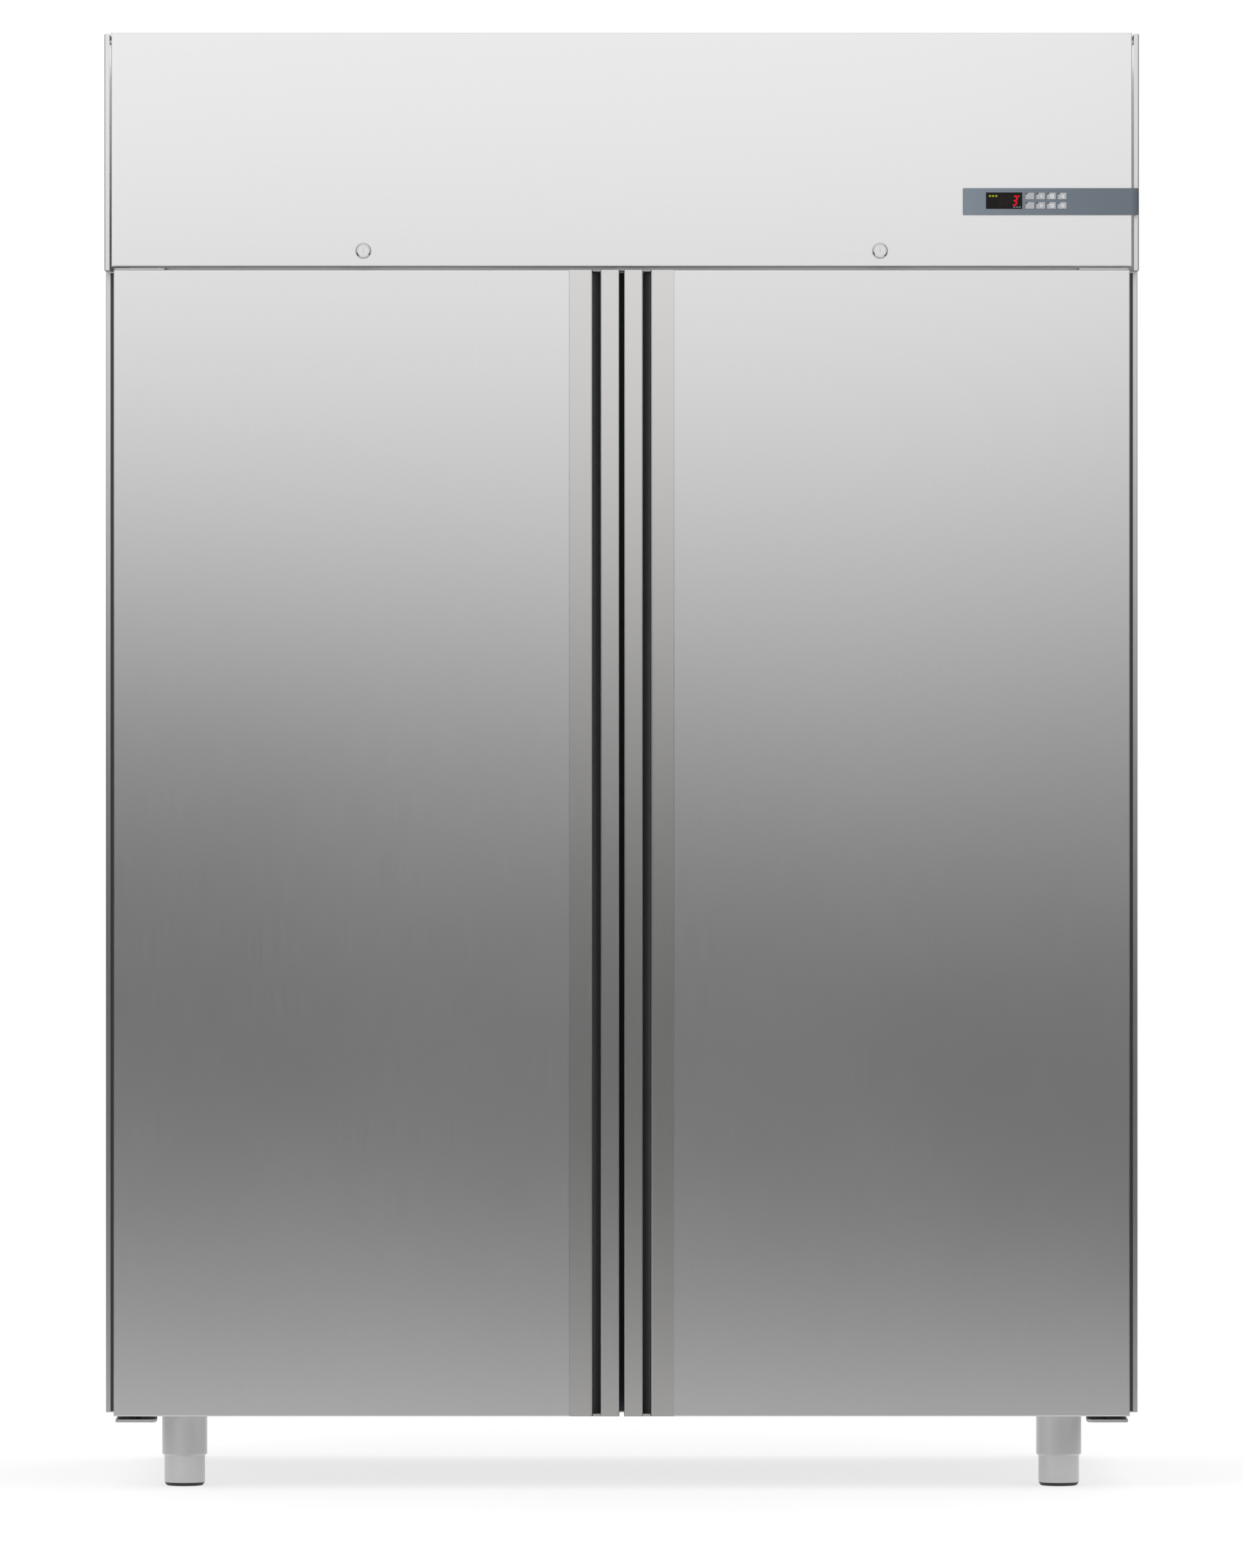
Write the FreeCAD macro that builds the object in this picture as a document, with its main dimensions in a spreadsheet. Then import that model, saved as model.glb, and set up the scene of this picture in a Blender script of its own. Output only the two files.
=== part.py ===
"""A two-door reach-in refrigerator: foamed stainless cabinet, two hinged doors, and a cooling unit on top.

Lengths are in millimetres. X runs across the front, +Y to the back and +Z up; the origin is the middle of
the footprint on the floor. The left half is drawn, and what is the same on the right is its mirror image.
"""
import FreeCAD
import Part
import Sketcher
import math
import os
from FreeCAD import Placement, Rotation, Vector

doc = FreeCAD.newDocument("ReachInRefrigerator")
sheet = doc.addObject("Spreadsheet::Sheet", "Sizes")


# ------------------------------------------------------------------------------------ sizes
class Size:
    """A length that keeps both its number and the sheet expression that gives it."""

    def __init__(self, value, text):
        self.value = value
        self.text = text

    def __add__(self, other):
        other = size(other)
        return Size(self.value + other.value, f"({self.text} + {other.text})")

    def __radd__(self, other):
        return size(other) + self

    def __sub__(self, other):
        other = size(other)
        return Size(self.value - other.value, f"({self.text} - {other.text})")

    def __rsub__(self, other):
        return size(other) - self

    def __mul__(self, number):
        return Size(self.value * number, f"({self.text} * {number})")

    def __truediv__(self, number):
        return Size(self.value / number, f"({self.text} / {number})")

    def __neg__(self):
        return Size(-self.value, f"(0 - {self.text})")


def size(value):
    """The value itself if it is a Size, else a Size for a plain number."""
    return value if isinstance(value, Size) else Size(value, f"({value})")


class Sizes:
    """The driving dimensions, each a cell of the sheet with an alias."""

    def __init__(self, **values):
        for row, (alias, value) in enumerate(values.items(), start=1):
            sheet.set(f"A{row}", alias)
            sheet.set(f"B{row}", str(value))
            sheet.setAlias(f"B{row}", alias)
            setattr(self, alias, Size(value, f"Sizes.{alias}"))


s = Sizes(
    # the whole cabinet
    cabinet_width=1440,
    cabinet_depth=800,
    cabinet_height=2026,
    floor_gap=105,
    hood_height=329.1,
    skin=1,
    wall=60,
    soft_gap=0.5,
    case_flange=6.5,
    case_end_flange=1.5,
    breaker_thickness=3.5,
    post_width=60,
    post_depth=40,
    post_fin=4,
    # the doors
    lock_proud=4,
    door_reveal=13.9,
    door_gap=6.4,
    door_drop=2,
    door_headroom=0.4,
    door_thickness=58,
    bend_radius=1.5,
    edge_bend=0.9,
    gasket_depth=9,
    gasket_width=16,
    gasket_margin=18,
    gasket_hinge_margin=23,
    gasket_free_margin=4,
    pan_rise=14,
    pan_inset=66,
    pan_free_inset=42,
    pan_end_inset=86,
    pan_sheet=2,
    pan_corner=4,
    # the pull handle, as depths behind the face of the door and widths from its free edge
    lip_width=26.2,
    lip_return=4.5,
    groove_width=10.6,
    groove_depth=14,
    recess_depth=28,
    recess_floor=25,
    strip_width=32.6,
    strip_step=1.2,
    handle_sheet=2,
    lip_bend=2.5,
    strip_bend=4,
    cap_thickness=1.8,
    cap_foot=3.3,
    # the door hinges
    pivot_inset=17.1,
    pivot_setback=30,
    pin_radius=5,
    running_gap=0.05,
    bush_radius=8,
    bush_flange_radius=13,
    bush_depth=18,
    pin_spare=3,
    bracket_gap=0.2,
    bracket_drop=4.5,
    bracket_sheet=4,
    bracket_width=56,
    bracket_tail=60,
    bracket_corner=8,
    bracket_riser_gap=2.5,
    top_plate_width=72,
    top_plate_sheet=1.8,
    top_plate_tail=80,
    # legs and feet
    leg_radius=31.6,
    leg_wall=1.5,
    leg_chamfer=2.8,
    leg_foot=42,
    leg_collar=12,
    leg_plate_radius=35,
    leg_plate_sheet=3,
    leg_front_inset=108,
    leg_front_setback=51.5,
    leg_rear_inset=83,
    leg_rear_setback=70,
    foot_radius=28.5,
    foot_height=80,
    glide_height=3.5,
    glide_radius=24.5,
    # the unit compartment
    panel_reveal=10.8,
    panel_gap=4.4,
    panel_return=20,
    hood_setback=16,
    hood_flange=7.4,
    hood_bend=3,
    panel_pivot_depth=24,
    panel_pivot_drop=12,
    panel_pin_radius=3,
    panel_ear=3,
    panel_ear_margin=8,
    grille_setback=19,
    louvre_length=90,
    louvre_column=126,
    louvre_height=8,
    louvre_pitch=22,
    louvre_margin=60,
    # locks
    lock_shift=4.35,
    lock_rise=26.3,
    lock_radius=11,
    rim_face=8.8,
    rim_shoulder=10.4,
    rim_dome=1.2,
    rim_edge=3,
    plug_radius=7.3,
    barrel_radius=9.5,
    barrel_length=24,
    cam_length=34,
    cam_width=10,
    cam_sheet=2,
    cam_spare=3,
    keyway_width=1.2,
    keyway_height=8,
    keyway_depth=1.5,
    # controller
    bezel_length=244,
    bezel_wrap=8.9,
    bezel_corner=1.2,
    bezel_edge=0.6,
    bezel_low=75.9,
    bezel_height=37.2,
    bezel_thickness=3.5,
    display_inset=57.2,
    display_lift=1.1,
    display_width=50.6,
    display_height=23,
    display_sink=0.3,
    display_sheet=1.5,
    button_inset=92.9,
    button_pitch=14.95,
    button_row=13.1,
    button_width=12.5,
    button_height=9.7,
    button_proud=0.5,
    button_gap=0.25,
    button_flange=0.6,
    button_flange_sheet=1,
    window_margin=4,
    controller_margin=6,
    controller_depth=30,
    controller_well=5,
    # cooling unit
    base_sheet=1.5,
    base_lip=14,
    base_lip_depth=32,
    base_lip_inset=89.2,
    fan_radius=98,
    fan_gap=3,
    hub_radius=28,
    hub_length=24,
    blade_sheet=1.6,
    blade_chord=56,
    blade_pitch=28,
    fan_motor_radius=38,
    fan_motor_length=55,
    condenser_width=320,
    condenser_height=250,
    condenser_thickness=60,
    condenser_setback=146,
    condenser_lift=14,
    shroud_depth=52,
    compressor_inset=205,
    compressor_setback=456,
    compressor_radius=88,
    compressor_height=180,
    shell_foot=14,
    shell_rise=18,
    shell_shoulder=60,
    shell_crown=30,
    shell_top=8,
    shell_blend=6,
    compressor_plate=3,
    grommet_height=16,
    grommet_radius=11,
    grommet_spread=70,
    electrical_inset=100,
    electrical_width=180,
    electrical_depth=120,
    electrical_height=130,
    gland_inset=160,
    gland_rise=70,
    gland_bore=4.25,
    gland_radius=9,
    gland_nut_radius=13,
    gland_length=20,
    gland_nut=6,
    gland_chamfer=1,
    pipe_radius=4.8,
    liquid_radius=3.2,
    drier_radius=11,
    drier_length=110,
    pipe_hole=20,
    pipe_bend=16.8,
    port_drop=75,
    port_reach=50,
    suction_reach=60,
    line_inset=30,
    drier_gap=20,
    drier_side=50,
    # inside
    evaporator_width=500,
    evaporator_depth=284,
    evaporator_height=110,
    coil_depth=70,
    coil_margin=16,
    evaporator_fan_radius=92,
    duct_width=240,
    duct_depth=20,
    lamp_length=560,
    lamp_width=26,
    lamp_height=12,
    upright_width=24,
    upright_depth=12,
    upright_sheet=2,
    upright_slot=14,
    upright_slot_height=5,
    upright_pitch=75,
    upright_front=68,
    upright_rear=90,
    runner_sheet=2,
    runner_leg=20,
    runner_first=330,
    runner_pitch=345,
    shelf_gap=3,
    shelf_front=50,
    shelf_rear=62,
    frame_wire=3.5,
    shelf_wire=2,
    shelf_wire_pitch=30,
    wire_weld=0.6,
)

BUTTON_COLUMNS = 4
BUTTON_ROWS = 2
SHELVES_PER_BAY = 3
FAN_BLADES = 5
LOUVRE_COLUMNS = 6

# places that several pieces share
half_width = s.cabinet_width / 2
back = s.cabinet_depth / 2
front = -back + s.lock_proud
case_bottom = s.floor_gap
case_top = s.cabinet_height - s.hood_height
seal_plane = front + s.door_thickness + s.gasket_depth + s.soft_gap
case_front = seal_plane - s.skin
inside_x = half_width - s.wall
inside_back = back - s.wall
inside_floor = case_bottom + s.wall
inside_ceiling = case_top - s.wall
door_outer = -(half_width - s.door_reveal)
door_free = -(s.door_gap / 2)
door_low = case_bottom - s.door_drop
door_high = case_top - s.door_headroom
door_back = front + s.door_thickness
handle_width = s.lip_width + s.groove_width + s.strip_width
pivot_x = door_outer + s.pivot_inset
pivot_y = front + s.pivot_setback
panel_low = case_top + s.panel_gap
panel_x = half_width - s.panel_reveal
hood_front = front + s.hood_setback
bezel_low = case_top + s.bezel_low
bezel_high = bezel_low + s.bezel_height
bezel_face = front - s.bezel_thickness
bezel_right = panel_x + s.bezel_wrap
bezel_left = bezel_right - s.bezel_length
display_x = bezel_left + s.display_inset
button_x = bezel_left + s.button_inset
lock_offset = (half_width - s.door_reveal + s.door_gap / 2) / 2 + s.lock_shift
PAST = 5  # how far a cutting tool runs past the face that it opens

# ------------------------------------------------------------------------------------ tools
AXES = {
    "x": Rotation(Vector(0, 1, 0), 90),
    "y": Rotation(Vector(1, 0, 0), -90),
    "z": Rotation(),
}
PLANES = {"x": ("YZ_Plane", False), "y": ("XZ_Plane", True), "z": ("XY_Plane", False)}
nodes = {}


def node(name, thing):
    """Name a finished sub-part, and keep it for the export."""
    thing.Label = name
    nodes[name] = thing
    return thing


def place(thing, x=0, y=0, z=0, turn=None):
    """Put a feature at x, y, z, turned by a rotation."""
    if turn:
        thing.Placement = Placement(Vector(), turn)
    for axis, value in zip("xyz", (x, y, z)):
        thing.setExpression(f"Placement.Base.{axis}", size(value).text)


def block(name, x, y, z):
    """A box between two values on each axis."""
    box = doc.addObject("Part::Box", name)
    for side, (low, high) in zip(("Length", "Width", "Height"), (x, y, z)):
        box.setExpression(side, (size(high) - low).text)
    place(box, x[0], y[0], z[0])
    return box


def rod(name, radius, length, x, y, z, along="z"):
    """A cylinder that starts at x, y, z and runs along an axis."""
    cylinder = doc.addObject("Part::Cylinder", name)
    cylinder.setExpression("Radius", size(radius).text)
    cylinder.setExpression("Height", size(length).text)
    place(cylinder, x, y, z, AXES[along])
    return cylinder


def join(name, *pieces):
    """One solid from touching or overlapping pieces."""
    fuse = doc.addObject("Part::MultiFuse", name)
    fuse.Shapes = list(pieces)
    fuse.Refine = True
    return fuse


def group(name, *pieces):
    """Separate solids kept as one object."""
    compound = doc.addObject("Part::Compound", name)
    compound.Links = list(pieces)
    return compound


def cut(name, base, *tools):
    """The base less each tool."""
    result = doc.addObject("Part::Cut", name)
    result.Base = base
    result.Tool = tools[0] if len(tools) == 1 else join(name + "_tools", *tools)
    result.Refine = True
    return result


def mirrored(name, source, normal=Vector(1, 0, 0), y=0):
    """The source seen in the middle plane of the cabinet, or in a plane across it at y."""
    image = doc.addObject("Part::Mirroring", name)
    image.Source = source
    image.Normal = normal
    image.setExpression("Base.y", size(y).text)
    return image


def copied(name, source, x=0, y=0, z=0):
    """The source again, moved."""
    image = group(name, source)
    place(image, x, y, z)
    return image


def outline(body, role, points):
    """A closed sketch through points, on one of the body's own origin planes."""
    sketch = body.newObject("Sketcher::SketchObject", body.Name + "_sketch")
    plane = next(f for f in body.Origin.OriginFeatures if f.Role == role)
    sketch.AttachmentSupport = (plane, [""])
    sketch.MapMode = "FlatFace"
    corners = [Vector(size(a).value, size(b).value, 0) for a, b in points]
    ends = corners[1:] + corners[:1]
    sketch.addGeometry([Part.LineSegment(a, b) for a, b in zip(corners, ends)])
    for line, point in enumerate(points):
        following = (line + 1) % len(points)
        sketch.addConstraint(Sketcher.Constraint("Coincident", line, 2, following, 1))
        for kind, axis, value in zip(("DistanceX", "DistanceY"), (-2, -1), map(size, point)):
            if value.value == 0:
                sketch.addConstraint(Sketcher.Constraint("PointOnObject", line, 1, axis))
                continue
            held = Sketcher.Constraint(kind, -1, 1, line, 1, value.value)
            sketch.setExpression(f"Constraints[{sketch.addConstraint(held)}]", value.text)
    return sketch


def prism(name, points, low, high, along="z"):
    """A padded outline between two values on an axis; its points are the other two axes, in order."""
    body = doc.addObject("PartDesign::Body", name)
    role, back_to_front = PLANES[along]
    pad = body.newObject("PartDesign::Pad", name + "_pad")
    pad.Profile = outline(body, role, points)
    pad.setExpression("Length", (size(high) - low).text)
    pad.Reversed = back_to_front
    body.Tip = pad
    place(body, **{along: low})
    return body


def turned(name, points, x, y, z, along="z"):
    """An outline of radius and height turned about an axis that starts at x, y, z."""
    body = doc.addObject("PartDesign::Body", name)
    turn = body.newObject("PartDesign::Revolution", name + "_turn")
    turn.Profile = outline(body, "XZ_Plane", points)
    turn.ReferenceAxis = (turn.Profile[0], ["V_Axis"])
    turn.Angle = 360
    body.Tip = turn
    place(body, x, y, z, AXES[along])
    return body


def rounded_block(name, x, y, z):
    """A box that is a PartDesign body, so that its edges can be rounded."""
    body = doc.addObject("PartDesign::Body", name)
    box = body.newObject("PartDesign::AdditiveBox", name + "_box")
    for side, (low, high) in zip(("Length", "Width", "Height"), (x, y, z)):
        box.setExpression(side, (size(high) - low).text)
    body.Tip = box
    place(body, x[0], y[0], z[0])
    return body


def soften(body, radius, chosen):
    """Round those edges of a body whose middle point, in the cabinet's frame, is chosen."""
    doc.recompute()
    base = body.Tip
    names = []
    for number, edge in enumerate(base.Shape.Edges, start=1):
        middle = edge.valueAt((edge.FirstParameter + edge.LastParameter) / 2)
        if chosen(body.Placement.multVec(middle)):
            names.append(f"Edge{number}")
    fillet = body.newObject("PartDesign::Fillet", body.Name + "_bend")
    fillet.Base = (base, names)
    fillet.setExpression("Radius", size(radius).text)
    body.Tip = fillet
    return body


def near(a, b):
    """Whether two places on one axis are the same."""
    return abs(a - size(b).value) < 0.01


def tube_route(name, radius, points, bend):
    """A round pipe through points, with an arc of one radius at each turn."""
    path = [Vector(*(size(c).value for c in point)) for point in points]
    edges = []
    start = path[0]
    for before, corner, after in zip(path, path[1:], path[2:]):
        arrive = (corner - before).normalize()
        leave = (after - corner).normalize()
        turn = arrive.getAngle(leave)
        reach = size(bend).value * math.tan(turn / 2)
        first = corner - arrive * reach
        last = corner + leave * reach
        inward = (leave - arrive).normalize()
        middle = corner + inward * (reach / math.sin(turn / 2) - size(bend).value)
        edges.append(Part.LineSegment(start, first).toShape())
        edges.append(Part.Arc(first, middle, last).toShape())
        start = last
    edges.append(Part.LineSegment(start, path[-1]).toShape())
    section = Part.Wire(Part.Circle(path[0], path[1] - path[0], size(radius).value).toShape())
    pipe = doc.addObject("Part::Feature", name)
    pipe.Shape = Part.Wire(edges).makePipeShell([section], True, True)
    return pipe


# ------------------------------------------------------------------------------------ cabinet
def outer_case():
    """The folded stainless box, with a narrow flange round its open front."""
    outside = rounded_block(
        "case_outside",
        (-half_width, half_width),
        (case_front, back),
        (case_bottom, case_top),
    )
    soften(outside, s.bend_radius, lambda p: near(abs(p.x), half_width) and near(p.y, case_front))
    hollow = block(
        "case_hollow",
        (-half_width + s.skin, half_width - s.skin),
        (seal_plane, back - s.skin),
        (case_bottom + s.skin, case_top - s.skin),
    )
    mouth = block(
        "case_mouth",
        (-half_width + s.case_flange, half_width - s.case_flange),
        (case_front - PAST, seal_plane + PAST),
        (case_bottom + s.case_end_flange, case_top - s.case_end_flange),
    )
    return cut("outer_case_sheet", outside, hollow, mouth, pipe_hole("case_pipe_hole"))


def pipe_hole(name):
    """The hole in the ceiling that the refrigerant pipes go down through."""
    height = s.wall + 2 * PAST
    return rod(name, s.pipe_hole, height, 0, pipe_hole_y, inside_ceiling - PAST)


def ring(name, outer_x, outer_z, inner_x, inner_z, y):
    """A flat frame, by the limits of its outside and its opening."""
    outside = block(name + "_outside", outer_x, y, outer_z)
    opening = block(name + "_opening", inner_x, (y[0] - PAST, y[1] + PAST), inner_z)
    return cut(name + "_ring", outside, opening)


pipe_hole_y = inside_back - s.coil_depth / 2
liner_x = (-(inside_x + s.skin), inside_x + s.skin)
liner_z = (inside_floor - s.skin, inside_ceiling + s.skin)
foam_x = (-half_width + s.skin, half_width - s.skin)
foam_z = (case_bottom + s.skin, case_top - s.skin)
breaker_back = seal_plane + s.breaker_thickness

node("outer_case", outer_case())


def breaker_frame():
    """The plastic frame round the opening, with a cover on the centre post and a fin between the doors."""
    frame = ring("breaker", foam_x, foam_z, liner_x, liner_z, (seal_plane, breaker_back))
    cover_x = (-(s.post_width / 2), s.post_width / 2)
    cover = block("post_cover", cover_x, (seal_plane, breaker_back), (inside_floor, inside_ceiling))
    fin_y = (case_front - s.skin, seal_plane)
    fin_z = (case_bottom + s.case_end_flange, case_top - s.case_end_flange)
    fin = block("post_fin", (-s.post_fin, s.post_fin), fin_y, fin_z)
    return join("breaker_all", frame, cover, fin)


node("breaker_frame", breaker_frame())
node(
    "cabinet_foam",
    cut(
        "foam_block",
        block("foam_outside", foam_x, (breaker_back, back - s.skin), foam_z),
        block("foam_hollow", liner_x, (breaker_back - PAST, inside_back + s.skin), liner_z),
        pipe_hole("foam_pipe_hole"),
    ),
)
node(
    "inner_liner",
    cut(
        "liner_sheet",
        block("liner_outside", liner_x, (seal_plane, inside_back + s.skin), liner_z),
        block(
            "liner_hollow",
            (-inside_x, inside_x),
            (seal_plane - PAST, inside_back),
            (inside_floor, inside_ceiling),
        ),
        pipe_hole("liner_pipe_hole"),
    ),
)
node(
    "centre_post",
    block(
        "post",
        (-(s.post_width / 2), s.post_width / 2),
        (breaker_back, seal_plane + s.post_depth),
        (inside_floor, inside_ceiling),
    ),
)


# ------------------------------------------------------------------------------------ shelving
def upright(name, x_from_wall, y):
    """A slotted post from the floor to below the evaporator, by its low x and its front."""
    low = inside_floor
    high = inside_ceiling - s.evaporator_height
    x = (x_from_wall, x_from_wall + s.upright_depth)
    post = block(name + "_bar", x, (y, y + s.upright_width), (low, high))
    hollow = block(
        name + "_hollow",
        (x[0] + s.upright_sheet, x[1] - s.upright_sheet),
        (y + s.upright_sheet, y + s.upright_width - s.upright_sheet),
        (low - PAST, high + PAST),
    )
    middle = y + s.upright_width / 2
    slots = []
    count = int((high - low).value // s.upright_pitch.value)
    for number in range(1, count):
        z = low + s.upright_pitch * number
        slots.append(
            block(
                f"{name}_slot_{number}",
                (x[0] - PAST, x[1] + PAST),
                (middle - s.upright_slot / 2, middle + s.upright_slot / 2),
                (z, z + s.upright_slot_height),
            )
        )
    return cut(name + "_post", cut(name + "_tube", post, hollow), group(name + "_slots", *slots))


def across(name, source):
    """The same piece at the other end of the shelves."""
    return mirrored(name, source, Vector(0, 1, 0), shelf_middle_y)


upright_front = seal_plane + s.upright_front
shelf_middle_y = (upright_front + inside_back - s.upright_rear) / 2
shelf_y = (seal_plane + s.shelf_front, inside_back - s.shelf_rear)
runner_wall = -inside_x + s.upright_depth
runner_post = -(s.upright_depth / 2)
shelf_x = (runner_wall + s.shelf_gap, runner_post - s.shelf_gap)

wall_upright = upright("wall_upright", -inside_x, upright_front)
post_upright = upright("post_upright", -(s.upright_depth / 2), upright_front)
wall_uprights = group("wall_uprights", wall_upright, across("wall_upright_rear", wall_upright))
node(
    "shelf_uprights",
    group(
        "uprights",
        wall_uprights,
        mirrored("wall_uprights_right", wall_uprights),
        post_upright,
        across("post_upright_rear", post_upright),
    ),
)


def runner(name, x, inward, z):
    """An L-shaped rail along a bay's side: x is its back, and inward is +1 or -1."""
    sides = sorted((x, x + s.runner_leg * inward), key=lambda side: side.value)
    rise = sorted((x, x + s.runner_sheet * inward), key=lambda side: side.value)
    leg = block(name + "_leg", sides, shelf_y, (z - s.runner_sheet, z))
    web = block(name + "_web", rise, shelf_y, (z - s.runner_leg, z))
    return join(name, leg, web)


def runners():
    """Two rails for each shelf of the left bay, and their mirror images."""
    rails = []
    for level in range(SHELVES_PER_BAY):
        z = inside_floor + s.runner_first + s.runner_pitch * level
        rails.append(runner(f"wall_runner_{level}", runner_wall, 1, z))
        rails.append(runner(f"post_runner_{level}", runner_post, -1, z))
    left = group("runners_left", *rails)
    return group("runners", left, mirrored("runners_right", left))


def wire_shelf():
    """One welded wire shelf at its own height of zero: a rod frame, a middle rod and thin wires on top."""
    x = shelf_x
    low_y = shelf_y[0]
    high_y = shelf_y[1]
    length_x = x[1] - x[0]
    length_y = high_y - low_y
    r = s.frame_wire
    rods = []
    for number, y in enumerate((low_y + r, (low_y + high_y) / 2, high_y - r)):
        rods.append(rod(f"shelf_bar_{number}", r, length_x, x[0], y, r, "x"))
    for number, side in enumerate((x[0] + r, x[1] - r)):
        rods.append(rod(f"shelf_side_{number}", r, length_y, side, low_y, r, "y"))
    count = int((length_x.value - 4 * r.value) // s.shelf_wire_pitch.value)
    top = r * 2 + s.shelf_wire - s.wire_weld
    for number in range(count):
        across_x = x[0] + length_x * ((number + 1) / (count + 1))
        rods.append(rod(f"shelf_wire_{number}", s.shelf_wire, length_y, across_x, low_y, top, "y"))
    return join("wire_shelf", *rods)


def wire_shelves():
    """Each bay's shelves, lying on their runners."""
    pattern = wire_shelf()
    shelves = []
    for level in range(SHELVES_PER_BAY):
        z = inside_floor + s.runner_first + s.runner_pitch * level
        shelves.append(copied(f"shelf_{level}", pattern, z=z))
    left = group("shelves_left", *shelves)
    return group("shelves", left, mirrored("shelves_right", left))


node("shelf_runners", runners())
node("wire_shelves", wire_shelves())


# ------------------------------------------------------------------------------------ evaporator
def fan(name, radius, x, y, z, along):
    """A hub with pitched blades; it starts at x, y, z and turns about an axis."""
    body = doc.addObject("PartDesign::Body", name)
    hub = body.newObject("PartDesign::AdditiveCylinder", name + "_hub")
    hub.setExpression("Radius", s.hub_radius.text)
    hub.setExpression("Height", s.hub_length.text)
    blade = body.newObject("PartDesign::AdditiveBox", name + "_blade")
    reach = radius - s.blade_sheet * 2
    chord = s.blade_chord
    blade.setExpression("Length", (reach - s.hub_radius * 0.5).text)
    blade.setExpression("Width", chord.text)
    blade.setExpression("Height", s.blade_sheet.text)
    pitch = math.radians(s.blade_pitch.value)
    blade.Placement = Placement(Vector(), Rotation(Vector(1, 0, 0), s.blade_pitch.value))
    blade.setExpression("Placement.Base.x", (s.hub_radius * 0.5).text)
    blade.setExpression("Placement.Base.y", (chord * (-0.5 * math.cos(pitch))).text)
    rise = s.hub_length / 2 - chord * (0.5 * math.sin(pitch))
    blade.setExpression("Placement.Base.z", rise.text)
    doc.recompute()
    pattern = body.newObject("PartDesign::PolarPattern", name + "_blades")
    pattern.Originals = [blade]
    pattern.Axis = (next(f for f in body.Origin.OriginFeatures if f.Role == "Z_Axis"), [""])
    pattern.Angle = 360
    pattern.Occurrences = FAN_BLADES
    body.Tip = pattern
    place(body, x, y, z, AXES[along])
    return body


cover_x = s.evaporator_width / 2
cover_z = (inside_ceiling - s.evaporator_height, inside_ceiling)
cover_y = (inside_back - s.evaporator_depth, inside_back)
coil_y = (inside_back - s.coil_depth - s.skin, inside_back - s.skin)
fan_y = (cover_y[0] + coil_y[0]) / 2
fan_low = cover_z[0] + s.coil_margin
lamp_front = seal_plane + s.post_depth + s.shelf_front

node(
    "evaporator_cover",
    cut(
        "cover_sheet",
        block("cover_outside", (-cover_x, cover_x), cover_y, cover_z),
        block(
            "cover_hollow",
            (-cover_x + s.skin, cover_x - s.skin),
            (cover_y[0] + s.skin, cover_y[1] - s.skin),
            (cover_z[0] + s.skin, cover_z[1] + PAST),
        ),
        rod("cover_mouth", s.evaporator_fan_radius + s.fan_gap, 4 * PAST, 0, fan_y, cover_z[0] - PAST),
    ),
)
node(
    "evaporator_coil",
    block(
        "coil",
        (-cover_x + s.coil_margin, cover_x - s.coil_margin),
        (coil_y[0], coil_y[1]),
        (cover_z[0] + s.coil_margin, cover_z[1] - s.coil_margin),
    ),
)
node(
    "evaporator_fan",
    fan("lower_fan", s.evaporator_fan_radius, 0, fan_y, fan_low, "z"),
)
node(
    "air_duct_panel",
    block(
        "duct",
        (-(s.duct_width / 2), s.duct_width / 2),
        (inside_back - s.duct_depth, inside_back),
        (inside_floor + s.wall, cover_z[0] - s.coil_margin),
    ),
)
node(
    "interior_lamp",
    block(
        "lamp",
        (-(s.lamp_length / 2), s.lamp_length / 2),
        (lamp_front, lamp_front + s.lamp_width),
        (inside_ceiling - s.lamp_height, inside_ceiling),
    ),
)

# ------------------------------------------------------------------------------------ cooling unit
unit_floor = case_top + s.base_sheet
condenser_x = s.condenser_width / 2
condenser_front = front + s.condenser_setback
condenser_y = (condenser_front, condenser_front + s.condenser_thickness)
compressor_x = -half_width + s.compressor_inset
compressor_y = front + s.compressor_setback
gland_x = -half_width + s.gland_inset
condenser_z = (unit_floor + s.condenser_lift, unit_floor + s.condenser_lift + s.condenser_height)
shroud_y = (condenser_y[1], condenser_y[1] + s.shroud_depth)
fan_z = (condenser_z[0] + condenser_z[1]) / 2
fan_start = shroud_y[1] - s.hub_length / 2
electrical_x = (-half_width + s.electrical_inset, -half_width + s.electrical_inset + s.electrical_width)
grille_y = (back - s.grille_setback - s.skin, back - s.grille_setback)
electrical_y = (grille_y[0] - s.electrical_depth - s.gland_length, grille_y[0] - s.gland_length)
electrical_z = (case_top, case_top + s.electrical_height)
base_x = (compressor_x - s.compressor_radius - s.condenser_lift, condenser_x + s.wall)
base_y = (condenser_y[0] - s.condenser_lift, electrical_y[0])
motor_front = fan_start + s.hub_length + s.fan_gap
bracket_y = (motor_front, motor_front + s.fan_motor_length)


def unit_base():
    """The plate under the cooling unit, with an upturned lip that closes the gap over the doors."""
    lip_x = (-half_width + s.base_lip_inset, half_width - s.base_lip_inset)
    lip_y = front + s.base_lip_depth
    sheet = (case_top, unit_floor)
    plate = block("base_plate", base_x, base_y, sheet)
    apron = block("base_apron", lip_x, (lip_y, base_y[0]), sheet)
    lip = block("base_lip", lip_x, (lip_y, lip_y + s.base_sheet), (case_top, case_top + s.base_lip))
    return join("base", plate, apron, lip)


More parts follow.
